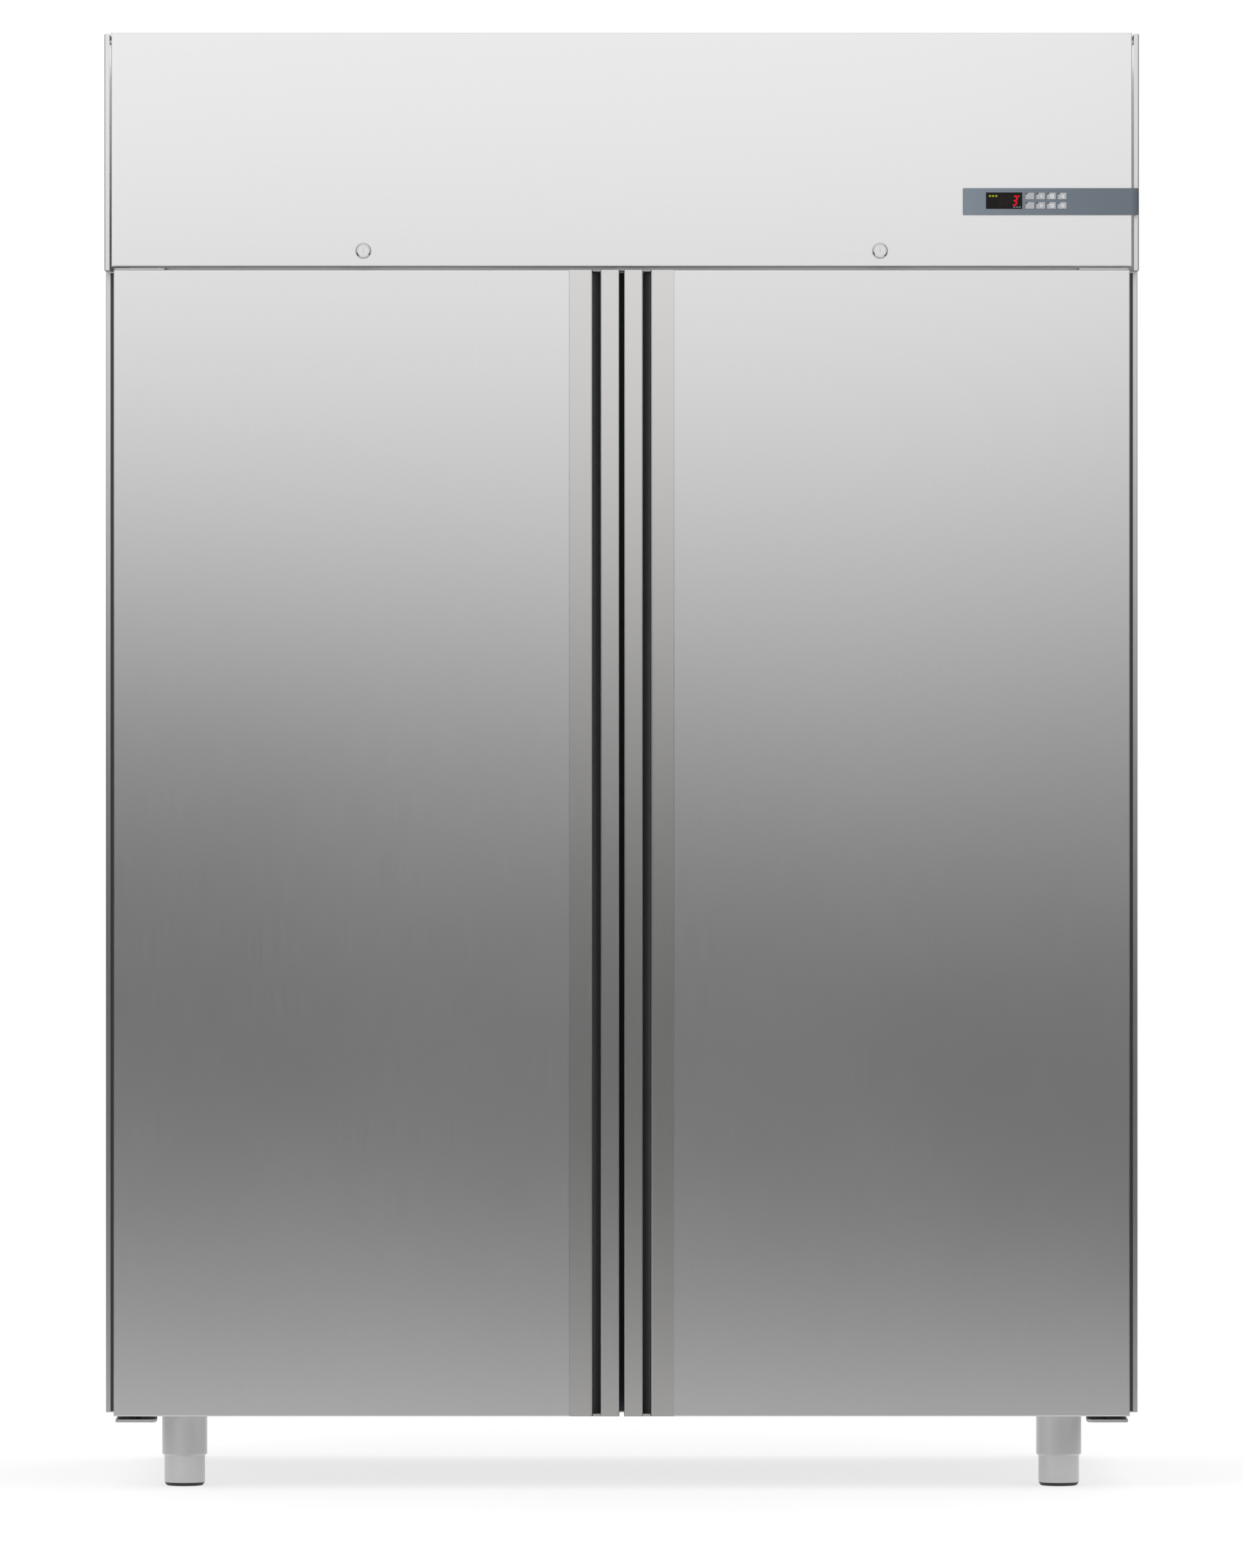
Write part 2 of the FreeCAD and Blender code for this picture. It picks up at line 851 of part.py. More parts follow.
node("unit_base", unit_base())
node(
    "condenser",
    join(
        "condenser_block",
        block("condenser_fins", (-condenser_x, condenser_x), condenser_y, condenser_z),
        block(
            "condenser_foot_left",
            (-condenser_x, -condenser_x + s.condenser_lift),
            condenser_y,
            (unit_floor, condenser_z[0]),
        ),
        block(
            "condenser_foot_right",
            (condenser_x - s.condenser_lift, condenser_x),
            condenser_y,
            (unit_floor, condenser_z[0]),
        ),
    ),
)
node(
    "condenser_shroud",
    cut(
        "shroud_sheet",
        block("shroud_outside", (-condenser_x, condenser_x), shroud_y, condenser_z),
        block(
            "shroud_hollow",
            (-condenser_x + s.skin, condenser_x - s.skin),
            (shroud_y[0] - PAST, shroud_y[1] - s.skin),
            (condenser_z[0] + s.skin, condenser_z[1] - s.skin),
        ),
        rod("shroud_mouth", s.fan_radius + s.fan_gap, 4 * PAST, 0, shroud_y[1] - 2 * PAST, fan_z, "y"),
    ),
)
node("condenser_fan", fan("upper_fan", s.fan_radius, 0, fan_start, fan_z, "y"))
node(
    "fan_motors",
    group(
        "motors",
        join(
            "upper_motor",
            rod("upper_motor_can", s.fan_motor_radius, s.fan_motor_length, 0, bracket_y[0], fan_z, "y"),
            block(
                "upper_motor_post",
                (-s.condenser_lift, s.condenser_lift),
                (bracket_y[0] + s.condenser_lift, bracket_y[1] - s.condenser_lift),
                (unit_floor, fan_z),
            ),
        ),
        rod(
            "lower_motor",
            s.hub_radius,
            inside_ceiling - fan_low - s.hub_length - s.fan_gap,
            0,
            fan_y,
            fan_low + s.hub_length + s.fan_gap,
        ),
    ),
)


def compressor():
    """A welded steel shell on a foot plate that stands on four rubber grommets."""
    r = s.compressor_radius
    high = s.compressor_height
    low = unit_floor + s.grommet_height
    shell = turned(
        "compressor_shell",
        [
            (0, 0),
            (r - s.shell_foot, 0),
            (r, s.shell_rise),
            (r, high - s.shell_shoulder),
            (r - s.shell_top, high - s.shell_crown),
            (r - s.shell_crown, high - s.shell_top),
            (0, high),
        ],
        compressor_x,
        compressor_y,
        low,
    )
    soften(shell, s.shell_blend, lambda p: p.z > low.value + 1 and p.z < (low + high).value - 1)
    spread = s.grommet_spread + s.grommet_radius
    plate = block(
        "compressor_plate",
        (compressor_x - spread, compressor_x + spread),
        (compressor_y - spread, compressor_y + spread),
        (low, low + s.compressor_plate),
    )
    grommets = []
    for number, (across_x, along_y) in enumerate(((-1, -1), (-1, 1), (1, -1), (1, 1))):
        x = compressor_x + s.grommet_spread * across_x
        y = compressor_y + s.grommet_spread * along_y
        grommets.append(rod(f"grommet_{number}", s.grommet_radius, s.grommet_height, x, y, unit_floor))
    return group("compressor_set", join("compressor_body", shell, plate), *grommets)


node("compressor", compressor())
node("electrical_box", rounded_block("electrical", electrical_x, electrical_y, electrical_z))


def refrigerant_pipes():
    """Discharge, liquid and suction lines in copper, and the filter drier on the liquid line."""
    shell_high = unit_floor + s.grommet_height + s.compressor_height
    port_z = shell_high - s.port_drop
    right = compressor_x + s.compressor_radius
    bend = s.pipe_bend
    riser_x = right + s.port_reach
    inlet_z = condenser_z[1] - s.line_inset
    outlet_z = condenser_z[0] + s.line_inset
    side = -condenser_x
    middle_y = (condenser_y[0] + condenser_y[1]) / 2
    discharge = tube_route(
        "discharge_line",
        s.pipe_radius,
        [
            (right, compressor_y, port_z),
            (riser_x, compressor_y, port_z),
            (riser_x, compressor_y, inlet_z),
            (riser_x, middle_y, inlet_z),
            (side, middle_y, inlet_z),
        ],
        bend,
    )
    drier_y = compressor_y - s.drier_length - s.drier_gap
    drier_x = side - s.drier_side
    drier = rod("drier", s.drier_radius, s.drier_length, drier_x, drier_y, outlet_z, "y")
    liquid = tube_route(
        "liquid_line",
        s.liquid_radius,
        [
            (side, middle_y, outlet_z),
            (drier_x, middle_y, outlet_z),
            (drier_x, drier_y, outlet_z),
        ],
        bend,
    )
    below = inside_ceiling - s.coil_margin
    small = tube_route(
        "capillary",
        s.liquid_radius,
        [
            (drier_x, drier_y + s.drier_length, outlet_z),
            (drier_x, pipe_hole_y, outlet_z),
            (-(s.pipe_hole / 2), pipe_hole_y, outlet_z),
            (-(s.pipe_hole / 2), pipe_hole_y, below),
        ],
        bend,
    )
    rear = compressor_y + s.compressor_radius
    suction_y = rear + s.suction_reach
    suction = tube_route(
        "suction_line",
        s.pipe_radius,
        [
            (compressor_x, rear, port_z),
            (compressor_x, suction_y, port_z),
            (s.pipe_hole / 2, suction_y, port_z),
            (s.pipe_hole / 2, pipe_hole_y, port_z),
            (s.pipe_hole / 2, pipe_hole_y, below),
        ],
        bend,
    )
    return group("pipes", discharge, liquid, drier, small, suction)


doc.recompute()
node("refrigerant_pipes", refrigerant_pipes())

# ------------------------------------------------------------------------------------ hood
hood_pivot_y = front + s.panel_pivot_depth
hood_pivot_z = s.cabinet_height - s.panel_pivot_drop


def hood_side():
    """The left side panel: a sheet with narrow flanges all round, and the pin the front panel hangs on."""
    low_x = -half_width
    sheet_x = low_x + s.skin
    edge_x = low_x + s.hood_flange
    outside = rounded_block(
        "hood_side_outside", (low_x, edge_x), (hood_front, back), (case_top, s.cabinet_height)
    )
    soften(outside, s.hood_bend, lambda p: near(p.x, low_x) and not near(p.z, case_top))
    hollow = block(
        "hood_side_hollow",
        (sheet_x, edge_x + PAST),
        (hood_front + s.skin, back - s.skin),
        (case_top + s.skin, s.cabinet_height - s.skin),
    )
    pin_length = panel_pin_end - low_x - s.skin
    pin = rod("hood_pin", s.panel_pin_radius, pin_length, sheet_x, hood_pivot_y, hood_pivot_z, "x")
    return join("hood_side", cut("hood_side_sheet", outside, hollow), pin)


panel_pin_end = -panel_x + s.panel_ear + s.skin
left_side = node("hood_side_left", hood_side())
node("hood_side_right", mirrored("hood_side_mirror", left_side))


def rear_grille():
    """The rear panel of the unit compartment, with rows of air slots and the hole for the gland."""
    panel = block("grille_sheet", foam_x, grille_y, (case_top + s.skin, s.cabinet_height - s.skin))
    slots = []
    rows = int((s.hood_height - s.louvre_margin * 2).value // s.louvre_pitch.value)
    for column in range(LOUVRE_COLUMNS):
        x = s.louvre_column * (column - LOUVRE_COLUMNS / 2) + (s.louvre_column - s.louvre_length) / 2
        for row in range(rows):
            z = case_top + s.louvre_margin + s.louvre_pitch * row
            slots.append(
                block(
                    f"louvre_{column}_{row}",
                    (x, x + s.louvre_length),
                    (grille_y[0] - PAST, grille_y[1] + PAST),
                    (z, z + s.louvre_height),
                )
            )
    gland = rod("gland_hole", s.gland_radius, 4 * PAST, gland_x, grille_y[0] - 2 * PAST, gland_z, "y")
    return cut("grille", panel, group("louvres", *slots, gland))


gland_z = case_top + s.gland_rise
node("hood_rear_grille", rear_grille())
node(
    "cable_gland",
    turned(
        "gland",
        [
            (s.gland_bore, 0),
            (s.gland_radius, 0),
            (s.gland_radius, s.gland_length - s.gland_nut),
            (s.gland_nut_radius, s.gland_length - s.gland_nut),
            (s.gland_nut_radius, s.gland_length - s.gland_chamfer),
            (s.gland_nut_radius - s.gland_chamfer, s.gland_length),
            (s.gland_bore, s.gland_length),
        ],
        gland_x,
        grille_y[1] - s.gland_length + s.gland_nut,
        gland_z,
        "y",
    ),
)

# ------------------------------------------------------------------------------------ service panel
lock_z = case_top + s.lock_rise
cam_y = (front + s.barrel_length + s.skin, front + s.barrel_length + s.skin + s.cam_sheet)


def service_panel():
    """The hinged front of the unit compartment: a folded pan with an ear at each end for its pins."""
    outside = rounded_block(
        "panel_outside",
        (-panel_x, panel_x),
        (front, front + s.panel_return),
        (panel_low, s.cabinet_height),
    )
    soften(outside, s.bend_radius, lambda p: near(p.y, front))
    hollow = block(
        "panel_hollow",
        (-panel_x + s.skin, panel_x - s.skin),
        (front + s.skin, front + s.panel_return + PAST),
        (panel_low + s.skin, s.cabinet_height - s.skin),
    )
    ear_y = (front + s.panel_return / 2, hood_pivot_y + s.panel_ear_margin)
    ear_z = (hood_pivot_z - s.panel_ear_margin, s.cabinet_height - s.skin / 2)
    ear = block("panel_ear", (-panel_x, -panel_x + s.panel_ear), ear_y, ear_z)
    tools = [hollow]
    for side in (-1, 1):
        reach = s.barrel_radius
        x = lock_offset * side
        tools.append(rod(f"lock_hole_{side + 1}", reach, 4 * PAST, x, front - 2 * PAST, lock_z, "y"))
    tools.append(
        block(
            "panel_window",
            (window_x[0], window_x[1]),
            (front - PAST, front + 2 * PAST),
            (window_z[0], window_z[1]),
        )
    )
    pan = cut("panel_pan", outside, *tools)
    bores = rod(
        "panel_pin_bores",
        s.panel_pin_radius + s.running_gap,
        s.cabinet_width,
        -half_width,
        hood_pivot_y,
        hood_pivot_z,
        "x",
    )
    return cut("panel", join("panel_with_ears", pan, ear, mirrored("panel_ear_right", ear)), bores)


first_column = button_x - s.button_width / 2
last_column = first_column + s.button_pitch * (BUTTON_COLUMNS - 1) + s.button_width
window_x = (display_x - s.display_width / 2 - s.window_margin, last_column + s.window_margin)
window_z = (bezel_low + s.window_margin, bezel_high - s.window_margin)
display_z = (bezel_low + bezel_high) / 2 + s.display_lift

node("service_panel", service_panel())


def lock_bodies():
    """Two domed lock rims with their barrels through the panel."""
    bore = s.plug_radius + s.running_gap
    left = turned(
        "lock_body",
        [
            (bore, 0),
            (s.rim_face, 0),
            (s.rim_shoulder, s.rim_dome),
            (s.lock_radius, s.rim_edge),
            (s.lock_radius, s.lock_proud),
            (s.barrel_radius, s.lock_proud),
            (s.barrel_radius, s.lock_proud + s.barrel_length),
            (bore, s.lock_proud + s.barrel_length),
        ],
        -lock_offset,
        front - s.lock_proud,
        lock_z,
        "y",
    )
    return group("lock_rims", left, mirrored("lock_body_right", left))


def lock_plug():
    """The plug that the key turns, and the cam on its inner end, lying level when unlocked."""
    face = front - s.lock_proud + s.button_proud
    x = -lock_offset
    plug = rod("plug", s.plug_radius, cam_y[1] - face, x, face, lock_z, "y")
    keyway = block(
        "keyway",
        (x - s.keyway_width / 2, x + s.keyway_width / 2),
        (face - PAST, face + s.keyway_depth),
        (lock_z - s.keyway_height / 2, lock_z + s.keyway_height / 2),
    )
    cam = block(
        "cam",
        (x - s.cam_length, x),
        cam_y,
        (lock_z - s.cam_width / 2, lock_z + s.cam_width / 2),
    )
    return join("lock_plug", cut("plug_with_keyway", plug, keyway), cam)


node("lock_bodies", lock_bodies())
left_plug = node("lock_plug_left", lock_plug())
node("lock_plug_right", mirrored("lock_plug_mirror", left_plug))


def buttons_at():
    """The middle of each button, row by row from the top."""
    places = []
    for row in range(BUTTON_ROWS):
        z = display_z + s.button_row * (0.5 - row)
        for column in range(BUTTON_COLUMNS):
            places.append((button_x + s.button_pitch * column, z))
    return places


def around(middle, width, margin=0):
    """The two ends of a stretch about its middle."""
    half = size(width) / 2 + margin
    return (middle - half, middle + half)


def control_bezel():
    """The slim moulded strip round the display and the buttons; it wraps past the end of the panel."""
    strip = rounded_block(
        "bezel_strip", (bezel_left, bezel_right), (bezel_face, front), (bezel_low, bezel_high)
    )
    soften(strip, s.bend_radius, lambda p: near(p.x, bezel_right) and near(p.y, bezel_face))
    middle_y = (bezel_face + front) / 2
    soften(strip, s.bezel_corner, lambda p: near(p.x, bezel_left) and near(p.y, middle_y))
    soften(strip, s.bezel_edge, lambda p: near(p.y, bezel_face) and p.x < bezel_right.value - 1)
    through = (bezel_face - PAST, front + PAST)
    holes = [
        block(
            "display_hole",
            around(display_x, s.display_width),
            through,
            around(display_z, s.display_height),
        )
    ]
    for number, (x, z) in enumerate(buttons_at(), start=1):
        wide = around(x, s.button_width, s.button_gap)
        high = around(z, s.button_height, s.button_gap)
        holes.append(block(f"button_hole_{number}", wide, through, high))
    return cut("bezel", strip, group("bezel_holes", *holes))


def button(name, x, z):
    """A key cap with a small flange behind the bezel that keeps it in."""
    face = bezel_face - s.button_proud
    stop = front + s.button_gap / 2
    cap = rounded_block(
        name + "_cap", around(x, s.button_width), (face, stop), around(z, s.button_height)
    )
    soften(cap, s.bezel_edge, lambda p: near(p.y, face))
    flange = block(
        name + "_flange",
        around(x, s.button_width, s.button_flange),
        (stop, stop + s.button_flange_sheet),
        around(z, s.button_height, s.button_flange),
    )
    return join(name, cap, flange)


node("control_bezel", control_bezel())
node(
    "display_window",
    block(
        "window",
        around(display_x, s.display_width),
        (bezel_face + s.display_sink, bezel_face + s.display_sink + s.display_sheet),
        around(display_z, s.display_height),
    ),
)
node(
    "controller_case",
    cut(
        "controller",
        block(
            "controller_outside",
            (window_x[0] - s.controller_margin, window_x[1] + s.controller_margin),
            (front + s.skin, front + s.skin + s.controller_depth),
            (window_z[0] - s.controller_margin, window_z[1] + s.controller_margin),
        ),
        block(
            "controller_well",
            window_x,
            (front + s.skin - PAST, front + s.skin + s.controller_well),
            window_z,
        ),
    ),
)
for number, (x, z) in enumerate(buttons_at(), start=1):
    node(f"button_{number}", button(f"key_{number}", x, z))


# ------------------------------------------------------------------------------------ doors
def from_edge(points):
    """Points of the left door given as width from its free edge and depth behind its face."""
    return [(door_free - width, front + depth) for width, depth in points]


sheet_in = s.handle_sheet
groove_start = s.lip_width
groove_end = s.lip_width + s.groove_width
recess_end = s.recess_floor + s.handle_sheet
back_of_handle = [
    (handle_width, s.strip_step + sheet_in),
    (groove_end + sheet_in, s.strip_step + sheet_in),
    (groove_end + sheet_in, s.groove_depth + sheet_in),
    (recess_end + sheet_in, s.recess_depth + sheet_in),
    (sheet_in, s.recess_depth + sheet_in),
    (sheet_in, s.door_thickness - s.skin),
]


def door_handle():
    """The folded pull: a lip at the free edge, a finger groove beside and behind it, and a flat strip."""
    points = [
        (0, 0),
        (groove_start, 0),
        (groove_start, s.lip_return),
        (groove_start - sheet_in, s.lip_return),
        (groove_start - sheet_in, sheet_in),
        (sheet_in, sheet_in),
        (sheet_in, s.recess_depth),
        (recess_end, s.recess_depth),
        (groove_end, s.groove_depth),
        (groove_end, s.strip_step),
        (handle_width, s.strip_step),
        *back_of_handle,
        (0, s.door_thickness - s.skin),
    ]
    profile = prism("handle_profile", from_edge(points), door_low, door_high)
    lip_corners = from_edge([(0, 0), (groove_start, 0)])
    strip_corner = from_edge([(groove_end, s.strip_step)])

    def standing_on(corners):
        return lambda p: any(near(p.x, x) and near(p.y, y) for x, y in corners)

    soften(profile, s.lip_bend, standing_on(lip_corners))
    return soften(profile, s.strip_bend, standing_on(strip_corner))


def end_caps():
    """The plugs that close the finger recess at the top and bottom of the handle."""
    points = [
        (groove_start, s.strip_step),
        (groove_end, s.strip_step),
        (groove_end, s.groove_depth),
        (recess_end, s.recess_depth),
        (sheet_in, s.recess_depth),
        (sheet_in, sheet_in),
        (groove_start - sheet_in, sheet_in),
        (groove_start - sheet_in, s.lip_return),
        (groove_start, s.lip_return),
    ]
    low = prism("cap_low", from_edge(points), door_low, door_low + s.cap_foot)
    high = prism("cap_high", from_edge(points), door_high - s.cap_thickness, door_high)
    return group("caps", low, high)


def bush_holes(name, depth):
    """The two holes that take the hinge bushes."""
    low = rod(name + "_low", s.bush_radius, depth + PAST, pivot_x, pivot_y, door_low - PAST)
    high = rod(name + "_high", s.bush_radius, depth + PAST, pivot_x, pivot_y, door_high - depth)
    return low, high


def cam_slot(name):
    """The slot in the top of the door that the lock's cam turns down into."""
    x = -lock_offset
    reach = s.cam_length + s.cam_spare
    return block(
        name,
        (x - reach, x + s.cam_width / 2 + s.cam_spare),
        (cam_y[0] - s.cam_spare, cam_y[1] + s.cam_spare),
        (lock_z - reach, door_high + PAST),
    )


def door_skin():
    """The stainless front pan of the door, with its top and bottom flanges shaped round the handle."""
    pan_x = (door_outer, door_free - handle_width)
    pan_y = (front, door_back - s.skin)
    outside = rounded_block("skin_outside", pan_x, pan_y, (door_low, door_high))
    soften(outside, s.bend_radius, lambda p: near(p.y, front) and not near(p.x, pan_x[1]))
    soften(outside, s.edge_bend, lambda p: near(p.y, front) and near(p.x, pan_x[1]))
    hollow = block(
        "skin_hollow",
        (pan_x[0] + s.skin, pan_x[1] + PAST),
        (front + s.skin, pan_y[1] + PAST),
        (door_low + s.skin, door_high - s.skin),
    )
    behind = [*back_of_handle, (handle_width, s.door_thickness - s.skin)]
    low = prism("skin_foot", from_edge(behind), door_low, door_low + s.skin)
    high = prism("skin_head", from_edge(behind), door_high - s.skin, door_high)
    folded = join("skin_folded", cut("skin_pan", outside, hollow), low, high)
    return cut("skin_sheet", folded, *bush_holes("skin_bush", s.bush_depth), cam_slot("skin_cam_slot"))


def door_foam():
    """The foam core, up to the back of the handle."""
    inner_edge = -door_outer + door_free - s.skin
    points = [
        (inner_edge, s.skin),
        (handle_width, s.skin),
        *back_of_handle,
        (inner_edge, s.door_thickness - s.skin),
    ]
    core = prism("foam_core", from_edge(points), door_low + s.skin, door_high - s.skin)
    filled = join("foam_filled", core, pan_filling("foam_in_pan", 0))
    return cut("door_core", filled, *bush_holes("foam_bush", s.bush_depth), cam_slot("foam_cam_slot"))


def pan_filling(name, past):
    """The space inside the raised pan, which the foam fills."""
    return block(
        name,
        (pan_x[0] + s.pan_sheet, pan_x[1] - s.pan_sheet),
        (door_back - s.skin - past, door_back + s.pan_rise - s.pan_sheet),
        (pan_z[0] + s.pan_sheet, pan_z[1] - s.pan_sheet),
    )


def door_liner():
    """The inner door sheet, with a raised pan that the gasket runs round."""
    sheet = block(
        "liner_flat", (door_outer, door_free), (door_back - s.skin, door_back), (door_low, door_high)
    )
    raised = rounded_block("liner_raised", pan_x, (door_back - s.skin, door_back + s.pan_rise), pan_z)
    soften(raised, s.pan_corner, lambda p: not near(p.y, door_back - s.skin))
    return cut("door_inner", join("door_inner_sheet", sheet, raised), pan_filling("liner_pan_hollow", PAST))


def door_gasket():
    """The magnetic seal round the back of the door."""
    x = (door_outer + s.gasket_hinge_margin, door_free - s.gasket_free_margin)
    z = (door_low + s.gasket_margin, door_high - s.gasket_margin)
    w = s.gasket_width
    y = (door_back, door_back + s.gasket_depth)
    return ring("gasket", x, z, (x[0] + w, x[1] - w), (z[0] + w, z[1] - w), y)


def door_bushes():
    """Flanged bush under the door, plain bush in its top."""
    bore = s.pin_radius + s.running_gap
    flange_low = bracket_top + s.bracket_gap
    low = turned(
        "bush_low",
        [
            (bore, 0),
            (s.bush_flange_radius, 0),
            (s.bush_flange_radius, door_low - flange_low),
            (s.bush_radius, door_low - flange_low),
            (s.bush_radius, door_low - flange_low + s.bush_depth),
            (bore, door_low - flange_low + s.bush_depth),
        ],
        pivot_x,
        pivot_y,
        flange_low,
    )
    start = door_high - s.bush_depth
    high = cut(
        "bush_high",
        rod("bush_high_outside", s.bush_radius, s.bush_depth, pivot_x, pivot_y, start),
        rod("bush_high_bore", bore, s.bush_depth + 2 * PAST, pivot_x, pivot_y, start - PAST),
    )
    return group("bushes", low, high)


bracket_top = door_low - s.bracket_drop
pan_x = (door_outer + s.pan_inset, door_free - s.pan_free_inset)
pan_z = (door_low + s.pan_end_inset, door_high - s.pan_end_inset)
DOOR_PIECES = {
    "door_skin": door_skin,
    "door_foam": door_foam,
    "door_liner": door_liner,
    "door_gasket": door_gasket,
    "door_handle": door_handle,
    "door_end_caps": end_caps,
    "door_bushes": door_bushes,
}
for name, make in DOOR_PIECES.items():
    left = node(name + "_left", make())
    node(name + "_right", mirrored(name + "_mirror", left))


# ------------------------------------------------------------------------------------ hinges
def bottom_hinge():
    """The cranked plate under the door with its upright pin; its tail is screwed under the case."""
    low = bracket_top - s.bracket_sheet
    tail_low = case_bottom - s.bracket_sheet
    nose = front + s.bracket_sheet
    riser = seal_plane + s.skin
    riser_front = case_front - s.bracket_riser_gap
    points = [
        (nose, low),
        (riser, low),
        (riser, tail_low),
        (riser + s.bracket_tail, tail_low),
        (riser + s.bracket_tail, case_bottom),
        (riser_front, case_bottom),
        (riser_front, bracket_top),
        (nose, bracket_top),
    ]
    x = (door_outer + s.skin * 2, door_outer + s.skin * 2 + s.bracket_width)
    plate = prism("bottom_plate", points, x[0], x[1], "x")
    middle_z = (low + bracket_top) / 2
    soften(plate, s.bracket_corner, lambda p: near(p.y, nose) and near(p.z, middle_z))
    pin_high = door_low + s.bush_depth - s.pin_spare
    pin = rod("bottom_pin", s.pin_radius, pin_high - low, pivot_x, pivot_y, low)
    return join("bottom_hinge", plate, pin)


def top_hinge():
    """The flat plate on top of the case that carries the upper pin over the door."""
    x = (door_outer, door_outer + s.top_plate_width)
    high = case_top + s.top_plate_sheet
    plate = rounded_block("top_plate", x, (front + s.skin, case_front + s.top_plate_tail), (case_top, high))
    middle_z = (case_top + high) / 2
    soften(plate, s.bracket_corner / 2, lambda p: near(p.y, front + s.skin) and near(p.z, middle_z))
    pin_low = door_high - s.bush_depth + s.pin_spare
    pin = rod("top_pin", s.pin_radius, high - pin_low, pivot_x, pivot_y, pin_low)
    return join("top_hinge", plate, pin)


left_hinges = group("hinges_left", bottom_hinge(), top_hinge())
node("hinge_brackets", group("hinges", left_hinges, mirrored("hinges_right", left_hinges)))

# ------------------------------------------------------------------------------------ legs and feet
LEGS = {
    "front_left": (-half_width + s.leg_front_inset, case_front + s.leg_front_setback),
    "rear_left": (-half_width + s.leg_rear_inset, back - s.leg_rear_setback),
}


def leg(name, x, y):
    """A leg tube with a mounting plate on top and a thick collar that guides the foot."""
    inner = s.leg_radius - s.leg_wall
    bore = s.foot_radius + s.running_gap
    high = case_bottom - s.leg_foot
    return turned(
        name,
        [
            (bore, 0),
            (s.leg_radius - s.leg_chamfer, 0),
            (s.leg_radius, s.leg_chamfer),
            (s.leg_radius, high - s.leg_plate_sheet),
            (s.leg_plate_radius, high - s.leg_plate_sheet),
            (s.leg_plate_radius, high),
            (0, high),
            (0, high - s.leg_plate_sheet),
            (inner, high - s.leg_plate_sheet),
            (inner, s.leg_collar),
            (bore, s.leg_collar),
        ],
        x,
        y,
        s.leg_foot,
    )


def foot(name, x, y):
    """The levelling foot: a sleeve that slides in the leg, on a chamfered glide."""
    return turned(
        name,
        [
            (0, 0),
            (s.glide_radius, 0),
            (s.foot_radius, s.glide_height),
            (s.foot_radius, s.foot_height),
            (0, s.foot_height),
        ],
        x,
        y,
        0,
    )


legs = []
for corner, (x, y) in LEGS.items():
    other = corner.replace("left", "right")
    leg_left = leg(f"leg_{corner}", x, y)
    legs += [leg_left, mirrored(f"leg_{other}", leg_left)]
    foot_left = node(f"foot_{corner}", foot(f"sleeve_{corner}", x, y))
    node(f"foot_{other}", mirrored(f"sleeve_{other}", foot_left))
node("legs", group("leg_tubes", *legs))

# ------------------------------------------------------------------------------------ export
doc.recompute()
faults = [thing.Label for thing in doc.Objects if {"Invalid", "Error"} & set(thing.State)]
for name, thing in nodes.items():
    if thing.Shape.isNull() or not thing.Shape.isValid() or not thing.Shape.Solids:
        faults.append(name)
if faults:
    raise RuntimeError("these objects failed: " + ", ".join(faults))

os.makedirs("parts", exist_ok=True)
for name, thing in nodes.items():
    thing.Shape.exportStep(f"parts/{name}.step")
print(len(nodes), "sub-parts")
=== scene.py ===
# %% [markdown]
# # A two-door reach-in refrigerator
# A tall stainless cabinet for a restaurant kitchen: two full-height doors with folded finger-groove handles,
# a hood above them that hides the cooling unit, a small controller on the hood, and four levelling feet.
# The solid parts come from the CAD frame and stay as they are. This lesson gives each of them its real finish,
# and models the small things the frame leaves out, such as feet made of two materials, lit digits, key symbols,
# fins, guards and screws.

# %% Load the frame
import math

import bmesh
import bpy
from mathutils import Matrix, Vector


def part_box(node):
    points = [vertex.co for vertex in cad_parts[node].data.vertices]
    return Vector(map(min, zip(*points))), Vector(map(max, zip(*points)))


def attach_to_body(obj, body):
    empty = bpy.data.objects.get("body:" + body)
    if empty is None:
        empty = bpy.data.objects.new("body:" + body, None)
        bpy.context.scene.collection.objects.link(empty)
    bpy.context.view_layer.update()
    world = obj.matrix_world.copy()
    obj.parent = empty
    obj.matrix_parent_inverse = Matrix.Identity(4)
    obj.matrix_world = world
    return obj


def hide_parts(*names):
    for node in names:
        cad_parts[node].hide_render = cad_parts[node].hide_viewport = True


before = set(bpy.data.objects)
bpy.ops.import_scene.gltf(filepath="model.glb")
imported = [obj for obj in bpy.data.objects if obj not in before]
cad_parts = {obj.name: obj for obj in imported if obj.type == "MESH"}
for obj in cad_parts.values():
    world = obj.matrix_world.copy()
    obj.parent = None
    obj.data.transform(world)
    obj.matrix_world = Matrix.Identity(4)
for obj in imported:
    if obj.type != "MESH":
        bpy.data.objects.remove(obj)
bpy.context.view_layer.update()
MM = 0.001
print("CAD nodes:", len(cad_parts))

# %% [markdown]
# ## Where the viewer stands
# The cabinet is seen square on, from far away, so that its sides don't show and its edges stay parallel.
# A long lens from far away does that. A short lens from close by would show the sides of the hood.

# %% The camera, level with the middle of the doors
camera_data = bpy.data.cameras.new("long_lens")
camera_data.lens = 247.8
camera_data.sensor_width = 36
camera_data.clip_end = 60
camera = bpy.data.objects.new("long_lens", camera_data)
camera.location = (-0.0003, -15.396, 0.982)
camera.rotation_euler = (math.radians(90), 0, 0)
bpy.context.scene.collection.objects.link(camera)
bpy.context.scene.camera = camera
print("camera at", tuple(camera.location))

# %% [markdown]
# ## Colours and nodes
# Colours are chosen as the sRGB hex codes that a paint shop would use, but shaders add light up in linear values,
# so one function turns the first into the second. One more function adds a shader node, sets it and links it.


